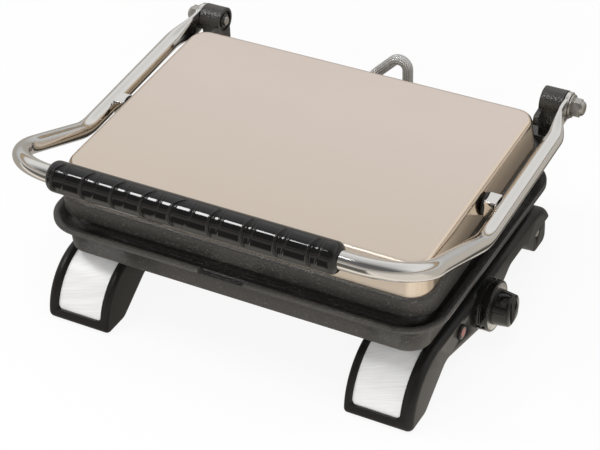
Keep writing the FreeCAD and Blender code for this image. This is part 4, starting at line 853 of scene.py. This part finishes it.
# ------------------------------------------------------------------ operators
class GRILL_OT_stage(Operator):
    """Floor, mirrored room, lamps and camera"""
    bl_idname = "grill.stage"
    bl_label = "Stage"

    def execute(self, context):
        self.camera(context.scene)
        self.floor(context.scene)
        self.world(context.scene)
        self.lights(context.scene)
        context.scene.view_settings.view_transform = "Standard"
        return {"FINISHED"}

    def camera(self, scene):
        camera = bpy.data.cameras.new("camera")
        camera.lens = CAMERA_LENS_MM
        camera.sensor_width = CAMERA_SENSOR_MM
        camera.clip_end = CAMERA_SIGHT
        eye = bpy.data.objects.new("camera", camera)
        azimuth, elevation, roll = (math.radians(a) for a in CAMERA_ANGLES)
        back = Vector((math.sin(azimuth) * math.cos(elevation), -math.cos(azimuth) * math.cos(elevation),
                       math.sin(elevation)))
        level_right = (-back).cross(Vector((0, 0, 1))).normalized()
        level_up = level_right.cross(-back)
        right = level_right * math.cos(roll) + level_up * math.sin(roll)
        up = level_up * math.cos(roll) - level_right * math.sin(roll)
        eye.matrix_world = Matrix((right, up, back)).transposed().to_4x4()
        grip = middle("handle_grip")
        eye.location = Vector((grip.x + CAMERA_FROM_GRIP[0], grip.y + CAMERA_FROM_GRIP[1], CAMERA_HEIGHT))
        scene.collection.objects.link(eye)
        scene.camera = eye

    def floor(self, scene):
        bm = bmesh.new()
        bmesh.ops.create_grid(bm, x_segments=1, y_segments=1, size=FLOOR_HALF_SIZE)
        mesh = bpy.data.meshes.new("floor")
        bm.to_mesh(mesh)
        bm.free()
        mesh.materials.append(floor_paper(tuple(settings().backdrop_color)))
        floor = bpy.data.objects.new("floor", mesh)
        scene.collection.objects.link(floor)

    def world(self, scene):
        """Plain white to the camera, even light on surfaces, and a panelled room in bright metal."""
        scene.world = bpy.data.worlds.new("studio")
        s = Shader.of_world(scene.world)
        _, y, z = s.split(s.node("ShaderNodeTexCoord", out="Generated"))
        seen, mirrored = s.rays()
        front = s.along(y, ROOM_FRONT, start=-1.0, span=2.0)
        room = s.ramp(z, ROOM_BY_HEIGHT) * (1.0 - front * s.ramp(z, ROOM_HIGH) * ROOM_FRONT_SHADE)
        level = mirrored * room + (1.0 - mirrored) * ROOM_DIFFUSE
        level = seen + (1.0 - seen) * level
        tone = s.mix(s.ramp(z, ROOM_GOLD) * mirrored, WHITE, GOLD)
        s.show(s.node("ShaderNodeBackground", {}, {"Color": tone, "Strength": level}))

    def lights(self, scene):
        for name, place, aim, wide, deep, power, glints in LAMPS:
            lamp = bpy.data.lights.new(name, "AREA")
            lamp.shape = "RECTANGLE"
            lamp.size = wide
            lamp.size_y = deep
            lamp.energy = getattr(settings(), power)
            holder = bpy.data.objects.new(name, lamp)
            holder.visible_glossy = glints
            holder.location = place
            holder.rotation_euler = (Vector(aim) - Vector(place)).to_track_quat("-Z", "Y").to_euler()
            scene.collection.objects.link(holder)


class GRILL_OT_lid(Operator):
    """Stainless cover, the upper casting below it, and what they hold"""
    bl_idname = "grill.lid"
    bl_label = "Lid"

    def execute(self, context):
        skin_of("lid_cover", "lid", steel(), SHARP_FITTING)
        skin_of("upper_grill_plate", "lid", casting(), SHARP_FITTING)
        for fitting in ("tilt_bush_left", "tilt_bush_right", "conduit_gland_lid"):
            skin_of(fitting, "lid", moulding(), SHARP_FITTING)
        skin_of("upper_heating_element", "lid", sheath(), SHARP_TUBE)
        skin_of("upper_element_clamps", "lid", sheet_zinc())
        skin_of("upper_clamp_screws", "lid", plated())
        return {"FINISHED"}


class GRILL_OT_base(Operator):
    """Lower casting, pan, rails, inlays and feet"""
    bl_idname = "grill.base"
    bl_label = "Base"

    def execute(self, context):
        skin_of("lower_grill_plate", "base", casting(), SHARP_FITTING)
        skin_of("base_pan", "base", sheet_zinc())
        for side in SIDES:
            skin_of("side_rail_" + side, "base", moulding(), SHARP_MOULDING)
            skin_of("foot_inlay_" + side, "base", aluminium(), SHARP_MOULDING)
            skin_of("rear_foot_screw_" + side, "base", plated())
            skin_of("post_screw_" + side, "base", plated())
            for end in ("front", "rear"):
                skin_of("rubber_foot_" + end + "_" + side, "base", rubber())
        skin_of("rail_screws", "base", plated())
        skin_of("lower_heating_element", "base", sheath(), SHARP_TUBE)
        skin_of("lower_element_clamps", "base", sheet_zinc())
        skin_of("lower_clamp_screws", "base", plated())
        skin_of("terminal_block", "base", ceramic())
        for gland in ("conduit_gland_base", "mains_inlet_gland"):
            skin_of(gland, "base", moulding(), SHARP_FITTING)
        return {"FINISHED"}


class GRILL_OT_hinges(Operator):
    """Hinge posts with their bolts, washers and cap nuts"""
    bl_idname = "grill.hinges"
    bl_label = "Hinges"

    def execute(self, context):
        for side in SIDES:
            skin_of("hinge_post_" + side, "base", post_casting(), SHARP_FITTING, ease_mm=0.5)
            skin_of("pivot_bolt_" + side, "base", plated())
            skin_of("pivot_washer_" + side, "base", plated(), SHARP_FITTING, ease_mm=0.25)
            skin_of("pivot_nut_" + side, "base", plated(), SHARP_FITTING, ease_mm=0.3)
        return {"FINISHED"}


class GRILL_OT_handle(Operator):
    """Bent tube, pressed grip and the two blocks that carry the lid"""
    bl_idname = "grill.handle"
    bl_label = "Handle"

    def execute(self, context):
        self.tube()
        self.grip()
        for side in SIDES:
            skin_of("tilt_standoff_" + side, "handle", chrome(), SHARP_FITTING, ease_mm=0.3)
            skin_of("tilt_bolt_" + side, "handle", plated())
        return {"FINISHED"}

    def tube(self):
        """Tube bent from one line; both ends flatten smoothly into the pivot tabs."""
        s = settings()
        r = s.tube_diameter / 2
        pivot = Vector(JOINTS["handle_hinge"]["pos_m"])
        bar = middle("handle_grip")
        low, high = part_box("handle_tube")
        centre = (low.x + high.x) / 2
        reach = (high.x - low.x) / 2 - r
        elbow = Vector((0.0, pivot.y - s.elbow_reach, pivot.z - s.elbow_drop))
        slope = s.elbow_drop / s.elbow_reach
        end_y = pivot.y - s.tab_hole / 2 - TAB_END_GAP
        end = Vector((0.0, end_y, pivot.z - (pivot.y - end_y) * slope))
        arm = [end, elbow, Vector((0.0, bar.y, bar.z))]
        points = [p + Vector((centre + reach, 0, 0)) for p in arm]
        points += [p + Vector((centre - reach, 0, 0)) for p in reversed(arm)]
        bends = [s.arm_bend_radius, s.right_corner_radius, s.left_corner_radius, s.arm_bend_radius]
        line = rounded_line(points, bends, TUBE_STEP)
        tab_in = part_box("hinge_post_right")[1].x + TAB_CLEARANCE
        shift = (tab_in + s.tab_thickness / 2) - (centre + reach)
        bm = bmesh.new()
        tube_along(bm, line, r, TUBE_SIDES, "tube", lambda p: self.flatten(p, pivot, centre, shift))
        for side in (1.0, -1.0):
            self.add_tab(bm, Vector((centre + side * (reach + shift), pivot.y, pivot.z)))
        finished("tube", bm, "handle", "handle_tube", chrome(), SHARP_TUBE)

    def add_tab(self, bm, place):
        """Drilled round tab with chamfered edges."""
        s = settings()
        half = s.tab_thickness / 2
        hole = s.tab_hole / 2
        profile = [(-half, hole), (-half, s.tab_radius - TAB_CHAMFER), (-half + TAB_CHAMFER, s.tab_radius),
                   (half - TAB_CHAMFER, s.tab_radius), (half, s.tab_radius - TAB_CHAMFER), (half, hole),
                   (-half, hole)]
        disc = bmesh.new()
        lathe(disc, profile, place, TAB_SIDES)
        mesh = bpy.data.meshes.new("tab")
        disc.to_mesh(mesh)
        disc.free()
        bm.from_mesh(mesh)
        bpy.data.meshes.remove(mesh)

    def flatten(self, point, pivot, centre, shift):
        """Half width, half height, shift in X and exponent of the section at a point."""
        s = settings()
        r = s.tube_diameter / 2
        t = (point.y - (pivot.y - s.tab_start)) / (s.tab_start - s.tab_flat)
        t = min(1.0, max(0.0, t))
        t = t * t * (3.0 - 2.0 * t)
        side = 1.0 if point.x > centre else -1.0
        flat = s.tab_thickness / 2 - TAB_INSET
        tall = s.tab_radius * TAB_HEIGHT_SHARE
        square = ROUND_SECTION + (FLAT_SECTION - ROUND_SECTION) * t
        return (r + (flat - r) * t, r + (tall - r) * t, side * shift * t, square)

    def grip(self):
        """Turned grip with a row of fine crescents pressed into its front."""
        low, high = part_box("handle_grip")
        centre = (low + high) / 2
        half = (high.x - low.x) / 2
        radius = radius_of("handle_grip")
        bore = settings().tube_diameter / 2
        ease = radius * GRIP_END_SHARE
        barrel = half - ease
        profile = [(-half + GRIP_CHAMFER, bore), (-half, bore + GRIP_CHAMFER)]
        profile += [(-barrel + a, r) for a, r in quarter(radius - ease, ease, 180, 90, GRIP_END_STEPS)]
        count = int(2 * barrel / GRIP_STEP)
        for i in range(1, count):
            profile.append((-barrel + 2 * barrel * i / count, radius))
        profile += [(barrel + a, r) for a, r in quarter(radius - ease, ease, 90, 0, GRIP_END_STEPS)]
        profile += [(half, bore + GRIP_CHAMFER), (half - GRIP_CHAMFER, bore)]
        bm = bmesh.new()
        lathe(bm, profile, centre, GRIP_SIDES)
        self.press_grooves(bm, centre, radius)
        finished("grip", bm, "handle", "handle_grip", gloss(), SHARP_GRIP)

    def press_grooves(self, bm, centre, radius):
        """Each crescent spans the front of the grip; its two arcs meet at both tips."""
        s = settings()
        places = [(i - (s.groove_count - 1) / 2) * s.groove_pitch for i in range(s.groove_count)]
        for vert in bm.verts:
            offset = vert.co - centre
            out = Vector((0.0, offset.y, offset.z))
            if out.length < radius * GRIP_SKIN_SHARE:
                continue
            around = math.degrees(math.atan2(out.z, -out.y))
            along = (around - CRESCENT_MIDDLE) / CRESCENT_REACH
            if abs(along) >= 1.0:
                continue
            belly = math.sqrt(1.0 - along * along)
            fade = min(1.0, (1.0 - abs(along)) * CRESCENT_FADE)
            for place, grow in zip(places, CRESCENT_GROWTH):
                for bulge, share in CRESCENT_ARCS:
                    mid = place + s.groove_width * grow * (bulge * belly + CRESCENT_SLANT * along)
                    d = abs(offset.x - mid) / (s.groove_line / 2)
                    if d < GROOVE_REACH:
                        ridge = RIDGE_SHARE * math.exp(-RIDGE_BED * (d - RIDGE_PLACE) ** 2)
                        dip = math.exp(-GROOVE_BED * d * d) - ridge
                        vert.co -= out.normalized() * (dip * s.groove_depth * share * fade)


class GRILL_OT_dial(Operator):
    """Collar, scale ring, knob and pilot lamp"""
    bl_idname = "grill.dial"
    bl_label = "Dial and lamp"

    def execute(self, context):
        skin_of("thermostat_collar", "base", gloss(), SHARP_FITTING, ease_mm=0.25)
        skin_of("dial_ring", "base", scale_ring(), SHARP_FITTING)
        skin_of("control_knob", "knob", gloss(), SHARP_FITTING, ease_mm=0.4)
        skin_of("thermostat_body", "base", ceramic())
        skin_of("pilot_lamp_body", "base", moulding())
        skin_of("pilot_lamp_lens", "base", lens(), SHARP_TUBE)
        return {"FINISHED"}


class GRILL_OT_conduit(Operator):
    """Braided hose between the base and the lid"""
    bl_idname = "grill.conduit"
    bl_label = "Conduit"

    def execute(self, context):
        s = settings()
        r = s.hose_diameter / 2
        lid = middle("conduit_gland_lid")
        base = middle("conduit_gland_base")
        lid_mouth_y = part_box("conduit_gland_lid")[1].y
        base_mouth_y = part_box("conduit_gland_base")[1].y
        base_x, base_z, lid_z = base.x, base.z, lid.z
        back_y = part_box("conduit")[1].y - r
        tilt = math.tan(s.lid_lean)
        corner_z = lid_z + (back_y - lid.y) * tilt
        points = [Vector((lid.x, lid_mouth_y, corner_z - (back_y - lid_mouth_y) * tilt)),
                  Vector((lid.x, back_y, corner_z)),
                  Vector((base_x, back_y, corner_z + base_x - lid.x)),
                  Vector((base_x, back_y, base_z)),
                  Vector((base_x, base_mouth_y, base_z))]
        line = rounded_line(points, [HOSE_LID_BEND, s.hose_arch, HOSE_BASE_BEND], HOSE_STEP)
        bm = bmesh.new()
        tube_along(bm, line, r, HOSE_SIDES, "hose", round_section(r))
        hose = finished("hose", bm, None, "conduit", braid(), SHARP_GRIP)
        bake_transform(hose)
        return {"FINISHED"}


class GRILL_PT_panel(Panel):
    """Lists the operators and the settings"""
    bl_idname = "GRILL_PT_panel"
    bl_label = "Contact grill"
    bl_space_type = "VIEW_3D"
    bl_region_type = "UI"
    bl_category = "Grill"

    def draw(self, context):
        column = self.layout.column()
        for operator in OPERATORS:
            column.operator(operator.bl_idname)
        for name in GrillSettings.__annotations__:
            column.prop(context.scene.grill_settings, name)


OPERATORS = (GRILL_OT_stage, GRILL_OT_lid, GRILL_OT_base, GRILL_OT_hinges, GRILL_OT_handle,
             GRILL_OT_dial, GRILL_OT_conduit)
CLASSES = (GrillSettings,) + OPERATORS + (GRILL_PT_panel,)


def register():
    for item in CLASSES:
        bpy.utils.register_class(item)
    bpy.types.Scene.grill_settings = PointerProperty(type=GrillSettings)


def unregister():
    del bpy.types.Scene.grill_settings
    for item in reversed(CLASSES):
        bpy.utils.unregister_class(item)


def main():
    register()
    for operator in OPERATORS:
        group, name = operator.bl_idname.split(".")
        getattr(getattr(bpy.ops, group), name)()
    bpy.context.view_layer.update()


if __name__ == "__main__":
    main()
